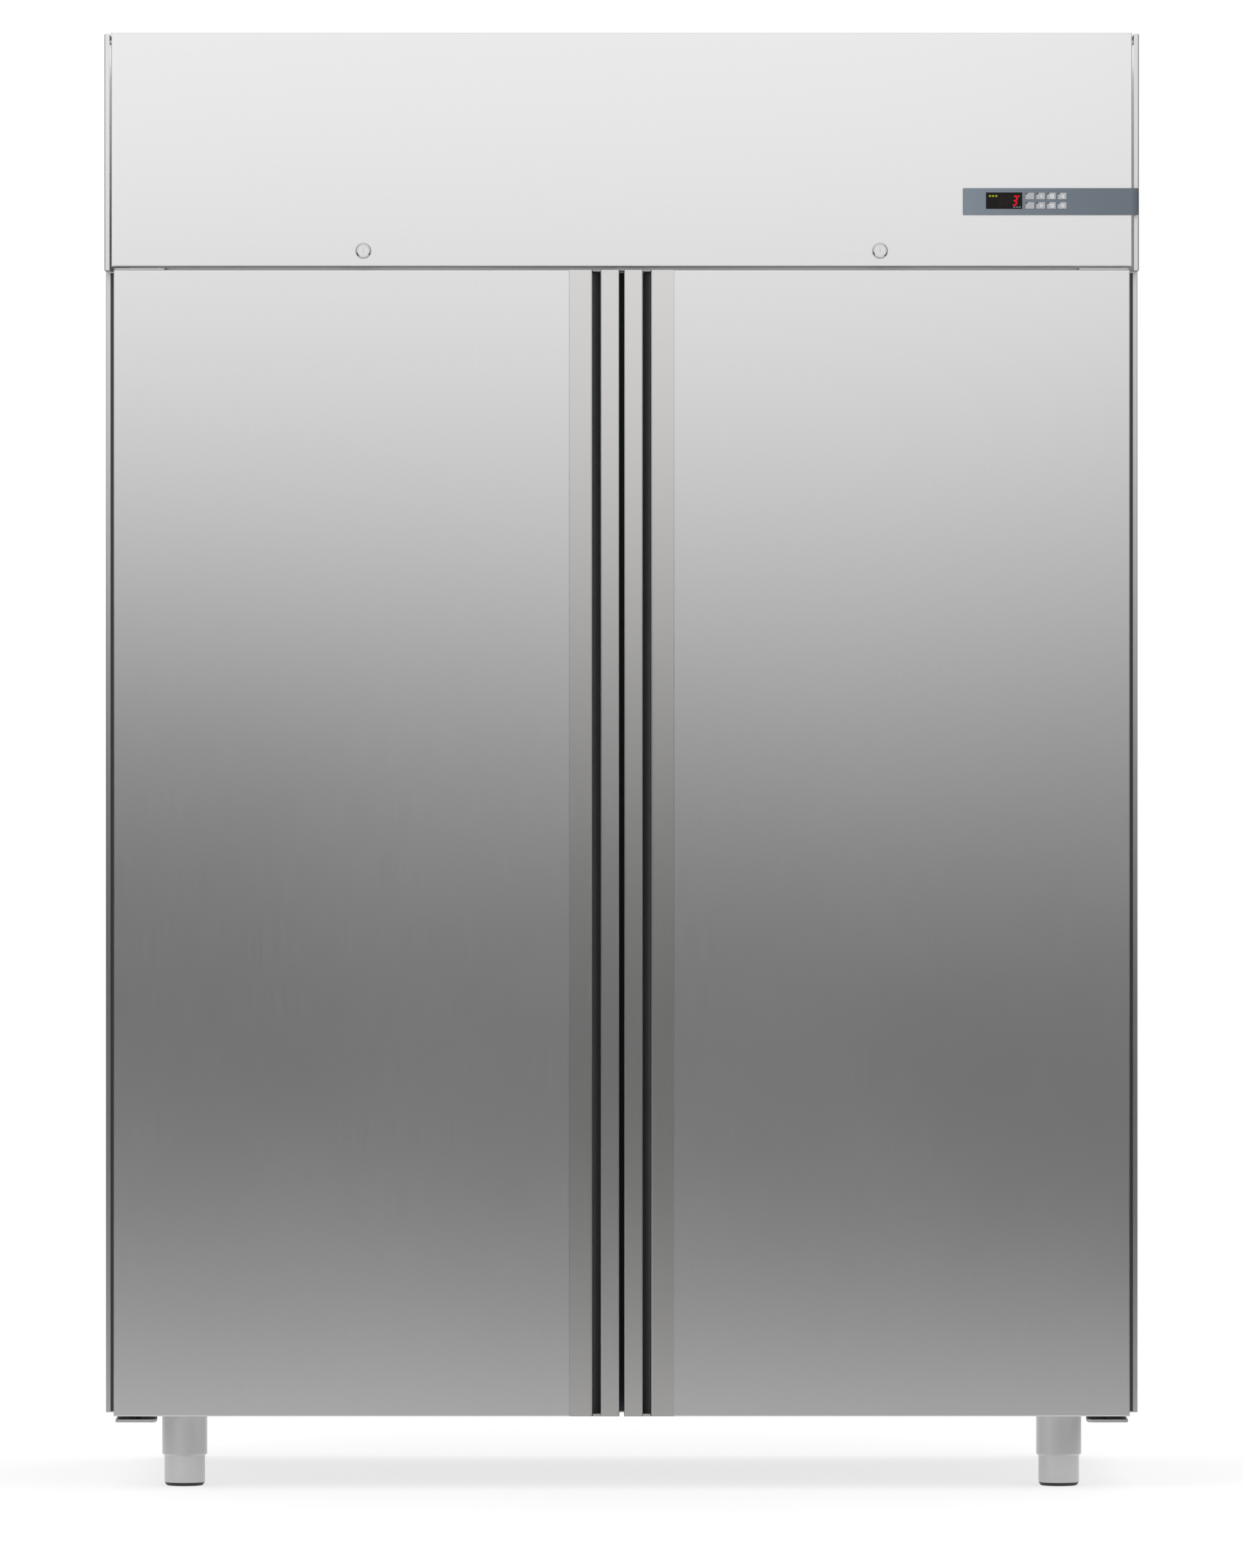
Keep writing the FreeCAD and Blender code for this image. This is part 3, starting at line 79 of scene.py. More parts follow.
# %% Helpers for materials
def linear(code):
    """The linear RGBA of an sRGB hex code."""
    channels = [int(code[at : at + 2], 16) / 255 for at in (0, 2, 4)]
    return [c / 12.92 if c <= 0.04045 else ((c + 0.055) / 1.055) ** 2.4 for c in channels] + [1.0]


def scaled_colour(colour, factor):
    """The colour made darker or lighter, kept within range and opaque."""
    return [min(c * factor, 1.0) for c in colour[:3]] + [1.0]


def add_node(tree, kind, settings=None, links=None):
    """Add a node; settings name inputs, properties or a ramp's stops, and links join inputs to sockets."""
    node = tree.nodes.new(kind)
    for name, value in (settings or {}).items():
        if name == "stops":
            ramp = node.color_ramp.elements
            while len(ramp) < len(value):
                ramp.new(1.0)
            for stop, (place, colour) in zip(ramp, value):
                stop.position = place
                stop.color = colour
        elif isinstance(name, int) or name in node.inputs:
            node.inputs[name].default_value = value
        else:
            setattr(node, name, value)
    for name, socket in (links or {}).items():
        tree.links.new(socket, node.inputs[name])
    return node


def new_finish(name, **surface):
    """A material with one Principled shader, whose uniform values go straight on its sockets."""
    material = bpy.data.materials.new(name)
    material.use_nodes = True
    tree = material.node_tree
    tree.nodes.clear()
    shader = add_node(tree, "ShaderNodeBsdfPrincipled", surface)
    add_node(tree, "ShaderNodeOutputMaterial", {}, {"Surface": shader.outputs["BSDF"]})
    return material, tree, shader


def grey(value):
    return [value, value, value, 1.0]


print("linear of c8c8c8:", [round(c, 3) for c in linear("c8c8c8")[:3]])

# %% [markdown]
# ## The room that the steel mirrors
# Satin steel has almost no colour of its own: what it shows is a blurred picture of the room. Facing a kitchen
# it shows a bright ceiling, a darker band at the height of people and counters, and a light floor.
# A few lamps could fake this, but their edges would show in the doors. A tall round screen that glows brighter
# towards its top is smoother, works from every side, and is seen by reflections only.

# %% The round screen, bright at the top and dark near the ground
SCREEN_RADIUS = 2.2
SCREEN_TOP = 4.4
GLOW_BY_HEIGHT = [
    (0.00, 0.37),
    (0.05, 0.34),
    (0.15, 0.24),
    (0.35, 0.15),
    (0.55, 0.11),
    (0.75, 0.08),
    (0.95, 0.13),
    (1.15, 0.38),
    (1.35, 0.84),
    (1.60, 1.16),
    (1.90, 1.35),
    (2.30, 1.44),
    (4.40, 1.44),
]
GLOW_BY_SIDE = [
    (0.00, 0.42),
    (0.07, 0.60),
    (0.16, 1.08),
    (0.30, 1.00),
    (0.68, 1.00),
    (0.82, 0.80),
    (0.93, 0.45),
    (1.00, 0.40),
]
LEAN = 0.24
LOW_RIGHT_LOSS = 0.4
BRIGHTEST = 1.5
glow = bpy.data.materials.new("screen_glow")
glow.use_nodes = True
glow_tree = glow.node_tree
glow_tree.nodes.clear()
place = add_node(glow_tree, "ShaderNodeTexCoord")
axes = add_node(glow_tree, "ShaderNodeSeparateXYZ", {}, {"Vector": place.outputs["Object"]})
low_part = add_node(
    glow_tree,
    "ShaderNodeMapRange",
    {"From Min": 0.7, "From Max": 1.5, "To Min": LEAN, "To Max": 0.0},
    {"Value": axes.outputs["Z"]},
)
across = add_node(glow_tree, "ShaderNodeMath", {"operation": "ADD", 1: 0.63}, {0: axes.outputs["X"]})
shifted = add_node(
    glow_tree,
    "ShaderNodeMath",
    {"operation": "MULTIPLY_ADD"},
    {0: across.outputs["Value"], 1: low_part.outputs["Result"], 2: axes.outputs["Z"]},
)
height = add_node(
    glow_tree,
    "ShaderNodeMapRange",
    {"From Min": 0.0, "From Max": SCREEN_TOP},
    {"Value": shifted.outputs["Value"]},
)
brightness = add_node(
    glow_tree,
    "ShaderNodeValToRGB",
    {"stops": [(h / SCREEN_TOP, grey(v / BRIGHTEST)) for h, v in GLOW_BY_HEIGHT]},
    {"Fac": height.outputs["Result"]},
)
side = add_node(
    glow_tree,
    "ShaderNodeMapRange",
    {"From Min": -SCREEN_RADIUS, "From Max": SCREEN_RADIUS},
    {"Value": axes.outputs["X"]},
)
side_light = add_node(
    glow_tree,
    "ShaderNodeValToRGB",
    {"stops": [(place_x, grey(v / 1.2)) for place_x, v in GLOW_BY_SIDE]},
    {"Fac": side.outputs["Result"]},
)
right_loss = add_node(
    glow_tree,
    "ShaderNodeMapRange",
    {"From Min": 0.1, "From Max": 0.9, "To Min": 1.0, "To Max": 1.0 - LOW_RIGHT_LOSS},
    {"Value": axes.outputs["X"]},
)
low_share = add_node(glow_tree, "ShaderNodeMapRange", {"From Min": 1.6, "From Max": 1.0}, {"Value": axes.outputs["Z"]})
loss = add_node(
    glow_tree, "ShaderNodeMix", {"A": 1.0}, {"Factor": low_share.outputs["Result"], "B": right_loss.outputs["Result"]}
)
kept = add_node(
    glow_tree,
    "ShaderNodeMath",
    {"operation": "MULTIPLY"},
    {0: side_light.outputs["Color"], 1: loss.outputs["Result"]},
)
strength = add_node(
    glow_tree,
    "ShaderNodeMath",
    {"operation": "MULTIPLY", 1: BRIGHTEST * 1.2},
    {0: kept.outputs["Value"]},
)
emission = add_node(
    glow_tree,
    "ShaderNodeEmission",
    {},
    {"Color": brightness.outputs["Color"], "Strength": strength.outputs["Value"]},
)
add_node(glow_tree, "ShaderNodeOutputMaterial", {}, {"Surface": emission.outputs["Emission"]})


# %% Helpers for meshes
def finished_mesh(name, shape, material, smooth=True):
    """Close a bmesh into an object at the origin, with one material."""
    mesh = bpy.data.meshes.new(name)
    shape.to_mesh(mesh)
    shape.free()
    mesh.materials.append(material)
    if smooth:
        mesh.polygons.foreach_set("use_smooth", [True] * len(mesh.polygons))
        mesh.set_sharp_from_angle(angle=math.radians(35))
    thing = bpy.data.objects.new(name, mesh)
    bpy.context.scene.collection.objects.link(thing)
    return thing


def add_block(shape, middle, size):
    """Add a block to the shape, and give back its edges."""
    place = Matrix.Translation(middle) @ Matrix.Diagonal((*size, 1))
    new = bmesh.ops.create_cube(shape, size=1, matrix=place)
    return list({edge for vert in new["verts"] for edge in vert.link_edges})


def round_edges(shape, edges, offset, segments):
    """Bevel the edges by a fixed offset."""
    bmesh.ops.bevel(
        shape,
        geom=edges,
        offset=offset,
        offset_type="OFFSET",
        segments=segments,
        profile=0.5,
        affect="EDGES",
        material=-1,
    )


def thicken(shape, faces, shift):
    """Grow flat faces into a solid along a shift."""
    grown = bmesh.ops.extrude_face_region(shape, geom=faces)
    moved = [v for v in grown["geom"] if isinstance(v, bmesh.types.BMVert)]
    bmesh.ops.translate(shape, verts=moved, vec=shift)


def turned(profile, centre, steps=48, axis=(0, 0, 1), start=None):
    """A round shape: the profile of (radius, distance) points is spun round the axis through the centre."""
    shape = bmesh.new()
    along = Vector(axis).normalized()
    across = Vector(start) if start else (Vector((1, 0, 0)) if abs(along.x) < 0.5 else Vector((0, 0, 1)))
    points = [shape.verts.new(Vector(centre) + across * r + along * d) for r, d in profile]
    edges = [shape.edges.new(pair) for pair in zip(points, points[1:])]
    bmesh.ops.spin(
        shape,
        geom=points + edges,
        cent=centre,
        axis=along,
        dvec=(0, 0, 0),
        angle=math.tau,
        steps=steps,
        use_merge=True,
        use_duplicate=False,
    )
    bmesh.ops.remove_doubles(shape, verts=shape.verts, dist=1e-6)
    bmesh.ops.recalc_face_normals(shape, faces=shape.faces)
    return shape


screen_shape = bmesh.new()
bmesh.ops.create_circle(screen_shape, segments=96, radius=SCREEN_RADIUS)
wall = bmesh.ops.extrude_edge_only(screen_shape, edges=screen_shape.edges[:])
top_rim = [v for v in wall["geom"] if isinstance(v, bmesh.types.BMVert)]
bmesh.ops.translate(screen_shape, verts=top_rim, vec=(0, 0, SCREEN_TOP))
screen = finished_mesh("round_screen", screen_shape, glow)
screen.visible_camera = False
screen.visible_diffuse = False
screen.visible_transmission = False
screen.visible_volume_scatter = False
screen.visible_shadow = False
print("screen radius", SCREEN_RADIUS, "m")

# %% [markdown]
# ## Floor, air and lamps
# The floor is plain and nearly white, and the air is white, so the outline of the cabinet stands clear of both.
# The floor glows a little, as a light table does, so that the shadow under the cabinet stays faint.
# Wide soft lamps, high on the left and low on the right, shape the plastic parts.

# %% World, floor and lamps
world = bpy.data.worlds.new("white_air")
world.use_nodes = True
world.node_tree.nodes["Background"].inputs["Color"].default_value = grey(1.0)
world.node_tree.nodes["Background"].inputs["Strength"].default_value = 1.0
bpy.context.scene.world = world
bpy.context.scene.view_settings.view_transform = "Standard"

floor_paint, _, floor_shader = new_finish("pale_floor_paint", Roughness=0.9)
floor_shader.inputs["Base Color"].default_value = grey(0.34)
floor_shader.inputs["Specular IOR Level"].default_value = 0.0
floor_shader.inputs["Emission Color"].default_value = grey(1.0)
floor_shader.inputs["Emission Strength"].default_value = 0.66
floor_shape = bmesh.new()
bmesh.ops.create_grid(floor_shape, x_segments=1, y_segments=1, size=30)
floor = finished_mesh("floor", floor_shape, floor_paint, smooth=False)

for name, power, size, where in (
    ("soft_lamp_left", 90, 2.5, (-3.5, -5.0, 4.5)),
    ("soft_lamp_right", 40, 2.5, (4.0, -4.0, 2.5)),
    ("soft_lamp_back", 60, 3.0, (1.0, 4.5, 4.0)),
):
    lamp_data = bpy.data.lights.new(name, "AREA")
    lamp_data.energy = power
    lamp_data.size = size
    lamp = bpy.data.objects.new(name, lamp_data)
    lamp.location = where
    lamp.rotation_euler = (Vector((0, 0, 1.0)) - Vector(where)).to_track_quat("-Z", "Y").to_euler()
    lamp.visible_glossy = False
    bpy.context.scene.collection.objects.link(lamp)
print("floor and lamps ready")

# %% [markdown]
# ## Stainless sheet
# The case is 1 mm stainless sheet with a number 4 finish: a belt rubs fine lines into it along its length.
# The lines are about 0.1 mm apart, too fine to show at this distance, so they are drawn 0.6 mm apart, long and
# shallow, as noise stretched along the sheet. They roughen the reflection a little from line to line.


# %% Brushed steel along a chosen direction
def brushed_steel(name, colour, roughness, grain="z", line_mm=0.6, length_mm=90.0, depth=0.012):
    """Satin stainless steel with its belt lines along one axis."""
    finish, tree, shader = new_finish(name, Metallic=1.0)
    where = add_node(tree, "ShaderNodeTexCoord").outputs["Object"]
    fine = 1 / (line_mm * MM)
    stretched = [fine, fine, fine]
    stretched["xyz".index(grain)] = 1 / (length_mm * MM)
    lines_at = add_node(tree, "ShaderNodeMapping", {"Scale": stretched}, {"Vector": where})
    lines = add_node(
        tree,
        "ShaderNodeTexNoise",
        {"Scale": 1.0, "Detail": 3.0, "Roughness": 0.6},
        {"Vector": lines_at.outputs["Vector"]},
    )
    wide = add_node(tree, "ShaderNodeTexNoise", {"Scale": 2.2, "Detail": 2.0}, {"Vector": where})
    scaled = add_node(tree, "ShaderNodeMath", {"operation": "MULTIPLY", 1: 0.25}, {0: wide.outputs["Fac"]})
    mixed = add_node(
        tree,
        "ShaderNodeMath",
        {"operation": "MULTIPLY_ADD", 1: 0.75},
        {0: lines.outputs["Fac"], 2: scaled.outputs["Value"]},
    )
    rough = add_node(
        tree,
        "ShaderNodeMapRange",
        {"From Min": 0.3, "From Max": 0.7, "To Min": roughness - 0.03, "To Max": roughness + 0.03},
        {"Value": mixed.outputs["Value"]},
    )
    base = linear(colour)
    shade = add_node(
        tree,
        "ShaderNodeValToRGB",
        {"stops": [(0.3, scaled_colour(base, 0.975)), (0.7, scaled_colour(base, 1.02))]},
        {"Fac": mixed.outputs["Value"]},
    )
    relief = add_node(
        tree,
        "ShaderNodeBump",
        {"Strength": 0.25, "Distance": depth * MM},
        {"Height": lines.outputs["Fac"]},
    )
    tree.links.new(rough.outputs["Result"], shader.inputs["Roughness"])
    tree.links.new(shade.outputs["Color"], shader.inputs["Base Color"])
    tree.links.new(relief.outputs["Normal"], shader.inputs["Normal"])
    return finish


door_steel = brushed_steel("brushed_stainless_door", "cfcfcf", 0.34)
hood_steel = brushed_steel("brushed_stainless_panel", "cfcfcf", 0.34, grain="x")
handle_steel = brushed_steel("brushed_stainless_handle", "c6c5c4", 0.33)
case_steel = brushed_steel("brushed_stainless_case", "c9c9c9", 0.34)
inner_steel = brushed_steel("brushed_stainless_inside", "c8c8c8", 0.36)
shelf_steel = brushed_steel("bright_stainless_shelf_strip", "c4c4c4", 0.3, length_mm=40)
hinge_steel = brushed_steel("brushed_stainless_hinge", "c0c0bf", 0.36, grain="x", length_mm=30)
leg_steel = brushed_steel("brushed_stainless_leg", "c6c6c6", 0.3, grain="z", length_mm=25)
base_steel = brushed_steel("dull_stainless_base", "cdcdcd", 0.42, grain="x")
plug_steel = brushed_steel("satin_nickel_plug", "d2d2d2", 0.42, line_mm=0.3, length_mm=4, depth=0.004)
print("steel finishes:", 8)


# %% [markdown]
# ## Moulded plastic, rubber, paint and the rest
# Plastic that leaves a steel mould carries a fine spark-eroded texture, about 0.3 mm from pit to pit, drawn here
# as small noise bumps. Rubber has a duller and coarser skin, powder paint has soft orange peel 1 mm across, and
# galvanised sheet shows flat zinc crystals 10 mm wide, each of its own grey.


# %% A grained finish for mouldings, rubber and paint
def grained(name, colour, roughness, pit_mm, depth_mm, spread=0.06, metallic=0.0, specular=0.5):
    """A plain coloured material whose surface has pits of one size, and a little variation in tone."""
    finish, tree, shader = new_finish(name, Metallic=metallic)
    shader.inputs["Specular IOR Level"].default_value = specular
    where = add_node(tree, "ShaderNodeTexCoord").outputs["Object"]
    pits = add_node(tree, "ShaderNodeTexNoise", {"Scale": 1 / (pit_mm * MM), "Detail": 2.0}, {"Vector": where})
    patches = add_node(tree, "ShaderNodeTexNoise", {"Scale": 14.0, "Detail": 3.0}, {"Vector": where})
    base = linear(colour)
    tone = add_node(
        tree,
        "ShaderNodeValToRGB",
        {"stops": [(0.3, scaled_colour(base, 1 - spread)), (0.7, scaled_colour(base, 1 + spread))]},
        {"Fac": patches.outputs["Fac"]},
    )
    rough = add_node(
        tree,
        "ShaderNodeMapRange",
        {"To Min": max(roughness - 0.06, 0.02), "To Max": min(roughness + 0.06, 1.0)},
        {"Value": pits.outputs["Fac"]},
    )
    relief = add_node(
        tree, "ShaderNodeBump", {"Strength": 0.4, "Distance": depth_mm * MM}, {"Height": pits.outputs["Fac"]}
    )
    tree.links.new(tone.outputs["Color"], shader.inputs["Base Color"])
    tree.links.new(rough.outputs["Result"], shader.inputs["Roughness"])
    tree.links.new(relief.outputs["Normal"], shader.inputs["Normal"])
    return finish


gasket_rubber = grained("pvc_gasket_rubber", "2b2b2d", 0.62, 0.8, 0.02)
# painted shade: a dark grey sheet that stands for the shade at the back of each finger groove
groove_shade_paint = grained("painted_groove_shade", "585859", 0.6, 0.6, 0.015)
frame_plastic = grained("abs_breaker_frame", "35363a", 0.5, 0.5, 0.01)
cap_plastic = grained("abs_handle_cap", "8e8d8a", 0.5, 0.4, 0.01)
bush_plastic = grained("nylon_bush", "3c3c3e", 0.4, 0.4, 0.01)
black_plastic = grained("black_nylon", "161617", 0.45, 0.4, 0.01)
fan_plastic = grained("glass_filled_nylon_fan", "1f2022", 0.42, 0.5, 0.01)
box_plastic = grained("polycarbonate_box", "6d7073", 0.42, 0.6, 0.01)
key_plastic = grained("silicone_key", "9a9ca0", 0.55, 0.25, 0.004, spread=0.04, specular=0.3)
compressor_paint = grained("black_stove_enamel", "151516", 0.32, 1.2, 0.02)
motor_paint = grained("grey_motor_enamel", "3a3d40", 0.4, 0.9, 0.02)
shelf_coating = grained("grey_epoxy_coated_wire", "c9cbcc", 0.35, 0.8, 0.01)
foam = grained("polyurethane_foam", "d9bf7a", 0.85, 1.5, 0.25, spread=0.12)
lamp_cover = grained("opal_acrylic_lamp", "f4f3ec", 0.3, 0.6, 0.003, spread=0.02)
glass_black = grained("smoked_acrylic_window", "0b0a0a", 0.22, 0.5, 0.0, spread=0.1, specular=0.12)
foot_black = grained("black_nylon_glide", "18181a", 0.5, 0.6, 0.02)
print("grained finishes ready")

# %% Chrome, copper, fins and galvanised sheet
chrome, chrome_tree, chrome_shader = new_finish("polished_chrome", Metallic=1.0)
chrome_place = add_node(chrome_tree, "ShaderNodeTexCoord").outputs["Object"]
chrome_wear = add_node(chrome_tree, "ShaderNodeTexNoise", {"Scale": 260.0, "Detail": 4.0}, {"Vector": chrome_place})
chrome_rough = add_node(
    chrome_tree, "ShaderNodeMapRange", {"To Min": 0.1, "To Max": 0.2}, {"Value": chrome_wear.outputs["Fac"]}
)
chrome_tree.links.new(chrome_rough.outputs["Result"], chrome_shader.inputs["Roughness"])
chrome_shader.inputs["Base Color"].default_value = linear("bcbcbe")

copper, copper_tree, copper_shader = new_finish("drawn_copper_tube", Metallic=1.0)
copper_place = add_node(copper_tree, "ShaderNodeTexCoord").outputs["Object"]
copper_stain = add_node(copper_tree, "ShaderNodeTexNoise", {"Scale": 30.0, "Detail": 5.0}, {"Vector": copper_place})
copper_colour = add_node(
    copper_tree,
    "ShaderNodeValToRGB",
    {"stops": [(0.35, linear("9c5a3a")), (0.6, linear("d08a62"))]},
    {"Fac": copper_stain.outputs["Fac"]},
)
copper_tree.links.new(copper_colour.outputs["Color"], copper_shader.inputs["Base Color"])
copper_shader.inputs["Roughness"].default_value = 0.32

# The fin pack is banded at the fin pitch: the dark bands are painted shade in the gaps between the fins, the pale
# bands are the fin edges.
FIN_PITCH_MM = 3.0
fins, fins_tree, fins_shader = new_finish("fin_pack_with_painted_gap_shade", Metallic=1.0, Roughness=0.4)
fins_place = add_node(fins_tree, "ShaderNodeTexCoord").outputs["Object"]
fins_wave = add_node(
    fins_tree,
    "ShaderNodeTexWave",
    {"wave_type": "BANDS", "bands_direction": "X", "Scale": math.tau / 20 / (FIN_PITCH_MM * MM)},
    {"Vector": fins_place},
)
fins_painted_gap_shade = add_node(
    fins_tree,
    "ShaderNodeValToRGB",
    {"stops": [(0.25, linear("2c2d2e")), (0.6, linear("c9cdd0"))]},
    {"Fac": fins_wave.outputs["Fac"]},
)
fins_relief = add_node(
    fins_tree, "ShaderNodeBump", {"Strength": 0.8, "Distance": 0.001}, {"Height": fins_wave.outputs["Fac"]}
)
fins_tree.links.new(fins_painted_gap_shade.outputs["Color"], fins_shader.inputs["Base Color"])
fins_tree.links.new(fins_relief.outputs["Normal"], fins_shader.inputs["Normal"])

zinc, zinc_tree, zinc_shader = new_finish("galvanised_steel_sheet", Metallic=1.0)
zinc_place = add_node(zinc_tree, "ShaderNodeTexCoord").outputs["Object"]
zinc_flakes = add_node(
    zinc_tree, "ShaderNodeTexVoronoi", {"Scale": 1 / (10 * MM), "Randomness": 1.0}, {"Vector": zinc_place}
)
zinc_colour = add_node(
    zinc_tree,
    "ShaderNodeValToRGB",
    {"stops": [(0.0, linear("9fa3a6")), (1.0, linear("c3c7ca"))]},
    {"Fac": zinc_flakes.outputs["Color"]},
)
zinc_rough = add_node(
    zinc_tree, "ShaderNodeMapRange", {"To Min": 0.35, "To Max": 0.55}, {"Value": zinc_flakes.outputs["Color"]}
)
zinc_tree.links.new(zinc_colour.outputs["Color"], zinc_shader.inputs["Base Color"])
zinc_tree.links.new(zinc_rough.outputs["Result"], zinc_shader.inputs["Roughness"])
print("metals ready")

# %% [markdown]
# ## The controller's moulding
# The bezel is a slate-blue moulding with a satin skin. Its colour carries painted shade: darker towards the right end,
# and darkest where it wraps round the corner of the hood. A ramp along its length in the moulding's own coordinates
# paints it.

# %% Slate plastic with painted shade along its length
bezel_low, bezel_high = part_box("control_bezel")
slate, slate_tree, slate_shader = new_finish("slate_abs_bezel", Roughness=0.42)
slate_place = add_node(slate_tree, "ShaderNodeTexCoord").outputs["Object"]
slate_axes = add_node(slate_tree, "ShaderNodeSeparateXYZ", {}, {"Vector": slate_place})
slate_shade_along = add_node(
    slate_tree,
    "ShaderNodeMapRange",
    {"From Min": bezel_low.x, "From Max": bezel_high.x},
    {"Value": slate_axes.outputs["X"]},
)
# painted shade: these stops darken the slate towards the right end, and most on the wrapped corner
slate_painted_shade = add_node(
    slate_tree,
    "ShaderNodeValToRGB",
    {"stops": [(0.0, linear("66707a")), (0.6, linear("545d67")), (0.96, linear("505963")), (1.0, linear("363d44"))]},
    {"Fac": slate_shade_along.outputs["Result"]},
)
slate_pits = add_node(slate_tree, "ShaderNodeTexNoise", {"Scale": 1 / (0.4 * MM)}, {"Vector": slate_place})
slate_relief = add_node(
    slate_tree, "ShaderNodeBump", {"Strength": 0.3, "Distance": 0.01 * MM}, {"Height": slate_pits.outputs["Fac"]}
)
slate_tree.links.new(slate_painted_shade.outputs["Color"], slate_shader.inputs["Base Color"])
slate_tree.links.new(slate_relief.outputs["Normal"], slate_shader.inputs["Normal"])
print("bezel is", round((bezel_high.x - bezel_low.x) / MM), "mm long")

# %% [markdown]
# ## Dressing the frame
# Each CAD node takes the finish of its real part. Only the material changes, never the mesh.

# %% Give every CAD node its finish
dress = {
    case_steel: ["outer_case", "hood_side_left", "hood_side_right", "hood_rear_grille"],
    base_steel: ["unit_base"],
    hood_steel: ["service_panel"],
    door_steel: ["door_skin_left", "door_skin_right"],
    handle_steel: ["door_handle_left", "door_handle_right"],
    inner_steel: [
        "inner_liner",
        "door_liner_left",
        "door_liner_right",
        "centre_post",
        "air_duct_panel",
        "evaporator_cover",
    ],
    foam: ["cabinet_foam", "door_foam_left", "door_foam_right"],
    frame_plastic: ["breaker_frame"],
    gasket_rubber: ["door_gasket_left", "door_gasket_right"],
    cap_plastic: ["door_end_caps_left", "door_end_caps_right"],
    bush_plastic: ["door_bushes_left", "door_bushes_right"],
    hinge_steel: ["hinge_brackets"],
    shelf_steel: ["shelf_uprights", "shelf_runners"],
    shelf_coating: ["wire_shelves"],
    lamp_cover: ["interior_lamp"],
    fins: ["evaporator_coil", "condenser"],
    zinc: ["condenser_shroud"],
    compressor_paint: ["compressor"],
    motor_paint: ["fan_motors"],
    fan_plastic: ["condenser_fan", "evaporator_fan"],
    copper: ["refrigerant_pipes"],
    box_plastic: ["electrical_box", "controller_case"],
    black_plastic: ["cable_gland"],
    leg_steel: ["legs", "foot_front_left", "foot_front_right", "foot_rear_left", "foot_rear_right"],
    chrome: ["lock_bodies"],
    plug_steel: ["lock_plug_left", "lock_plug_right"],
    slate: ["control_bezel"],
    glass_black: ["display_window"],
    key_plastic: [f"button_{number}" for number in range(1, 9)],
}
dressed = 0
for finish, names in dress.items():
    for name in names:
        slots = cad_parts[name].data.materials
        for index in range(len(slots)):
            slots[index] = finish
        if not len(slots):
            slots.append(finish)
        dressed += 1
print("dressed", dressed, "of", len(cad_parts), "nodes")

# %% [markdown]
# ## Feet
# A levelling foot is a stainless sleeve that slides out of the leg, closed below by a black nylon glide that
# protects the floor. Both are round, so each is one profile spun round the foot's own axis.

# %% Four feet, each a sleeve on a glide
GLIDE_HEIGHT = 4.6 * MM
for corner in ("front_left", "front_right", "rear_left", "rear_right"):
    low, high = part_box(f"foot_{corner}")
    middle = ((low.x + high.x) / 2, (low.y + high.y) / 2, 0.0)
    radius = (high.x - low.x) / 2
    glide = turned(
        [
            (0.0, 0.0),
            (radius - 4.2 * MM, 0.0),
            (radius - 3.4 * MM, 0.3 * MM),
            (radius - 0.9 * MM, 3.4 * MM),
            (radius - 0.6 * MM, GLIDE_HEIGHT),
            (0.0, GLIDE_HEIGHT),
        ],
        middle,
    )
    sleeve = turned(
        [
            (radius - 2.0 * MM, GLIDE_HEIGHT),
            (radius - 0.7 * MM, GLIDE_HEIGHT),
            (radius - 0.1 * MM, GLIDE_HEIGHT + 0.5 * MM),
            (radius, GLIDE_HEIGHT + 1.4 * MM),
            (radius, high.z),
            (radius - 2.0 * MM, high.z),
            (radius - 2.0 * MM, GLIDE_HEIGHT),
        ],
        middle,
        steps=64,
    )
    for piece, slot in (
        (finished_mesh(f"glide_{corner}", glide, foot_black), "gland_plastic"),
        (finished_mesh(f"sleeve_{corner}", sleeve, leg_steel), "foot_stainless"),
    ):
        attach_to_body(piece, f"{corner}_foot")
        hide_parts(f"foot_{corner}")
print("feet of radius", round(radius / MM, 1), "mm")

# %% [markdown]
# ## Bent wire and tube
# Fan guards, return bends and cables all follow a path. One helper carries a ring of points along
# the path and turns it just enough at each step, so that the tube never twists.

# %% A tube along a path, and a ring of path points
def tube(shape, path, radius, sides=10, closed=False):
    """Add a round tube that follows the points of the path."""
    path = [Vector(point) for point in path]
    last = len(path) - 1
    side = None
    rings = []
    for index, point in enumerate(path):
        before = path[index - 1] if index or closed else point
        after = path[(index + 1) % len(path)] if index < last or closed else point
        along = (after - before).normalized()
        side = along.orthogonal() if side is None else side - along * side.dot(along)
        side.normalize()
        up = along.cross(side)
        turns = [math.tau * k / sides for k in range(sides)]
        rings.append([shape.verts.new(point + (side * math.cos(a) + up * math.sin(a)) * radius) for a in turns])
    pairs = list(zip(rings, rings[1:])) + ([(rings[-1], rings[0])] if closed else [])
    for one, two in pairs:
        for k in range(sides):
            shape.faces.new((one[k], one[(k + 1) % sides], two[(k + 1) % sides], two[k]))
    if not closed:
        shape.faces.new(rings[0][::-1])
        shape.faces.new(rings[-1])


def arc(centre, radius, across, up, start=0.0, end=math.tau, steps=24):
    """Points on an arc in the plane of two directions."""
    turns = [start + (end - start) * k / steps for k in range(steps + 1)]
    return [Vector(centre) + Vector(across) * radius * math.cos(a) + Vector(up) * radius * math.sin(a) for a in turns]


def rounded(path, bend, steps=5):
    """The path with each corner replaced by a short curve."""
    path = [Vector(point) for point in path]
    smooth = [path[0]]
    for before, corner, after in zip(path, path[1:], path[2:]):
        start = corner + (before - corner).normalized() * bend
        end = corner + (after - corner).normalized() * bend
        for k in range(steps + 1):
            share = k / steps
            smooth.append(start.lerp(corner, share).lerp(corner.lerp(end, share), share))
    return smooth + [path[-1]]


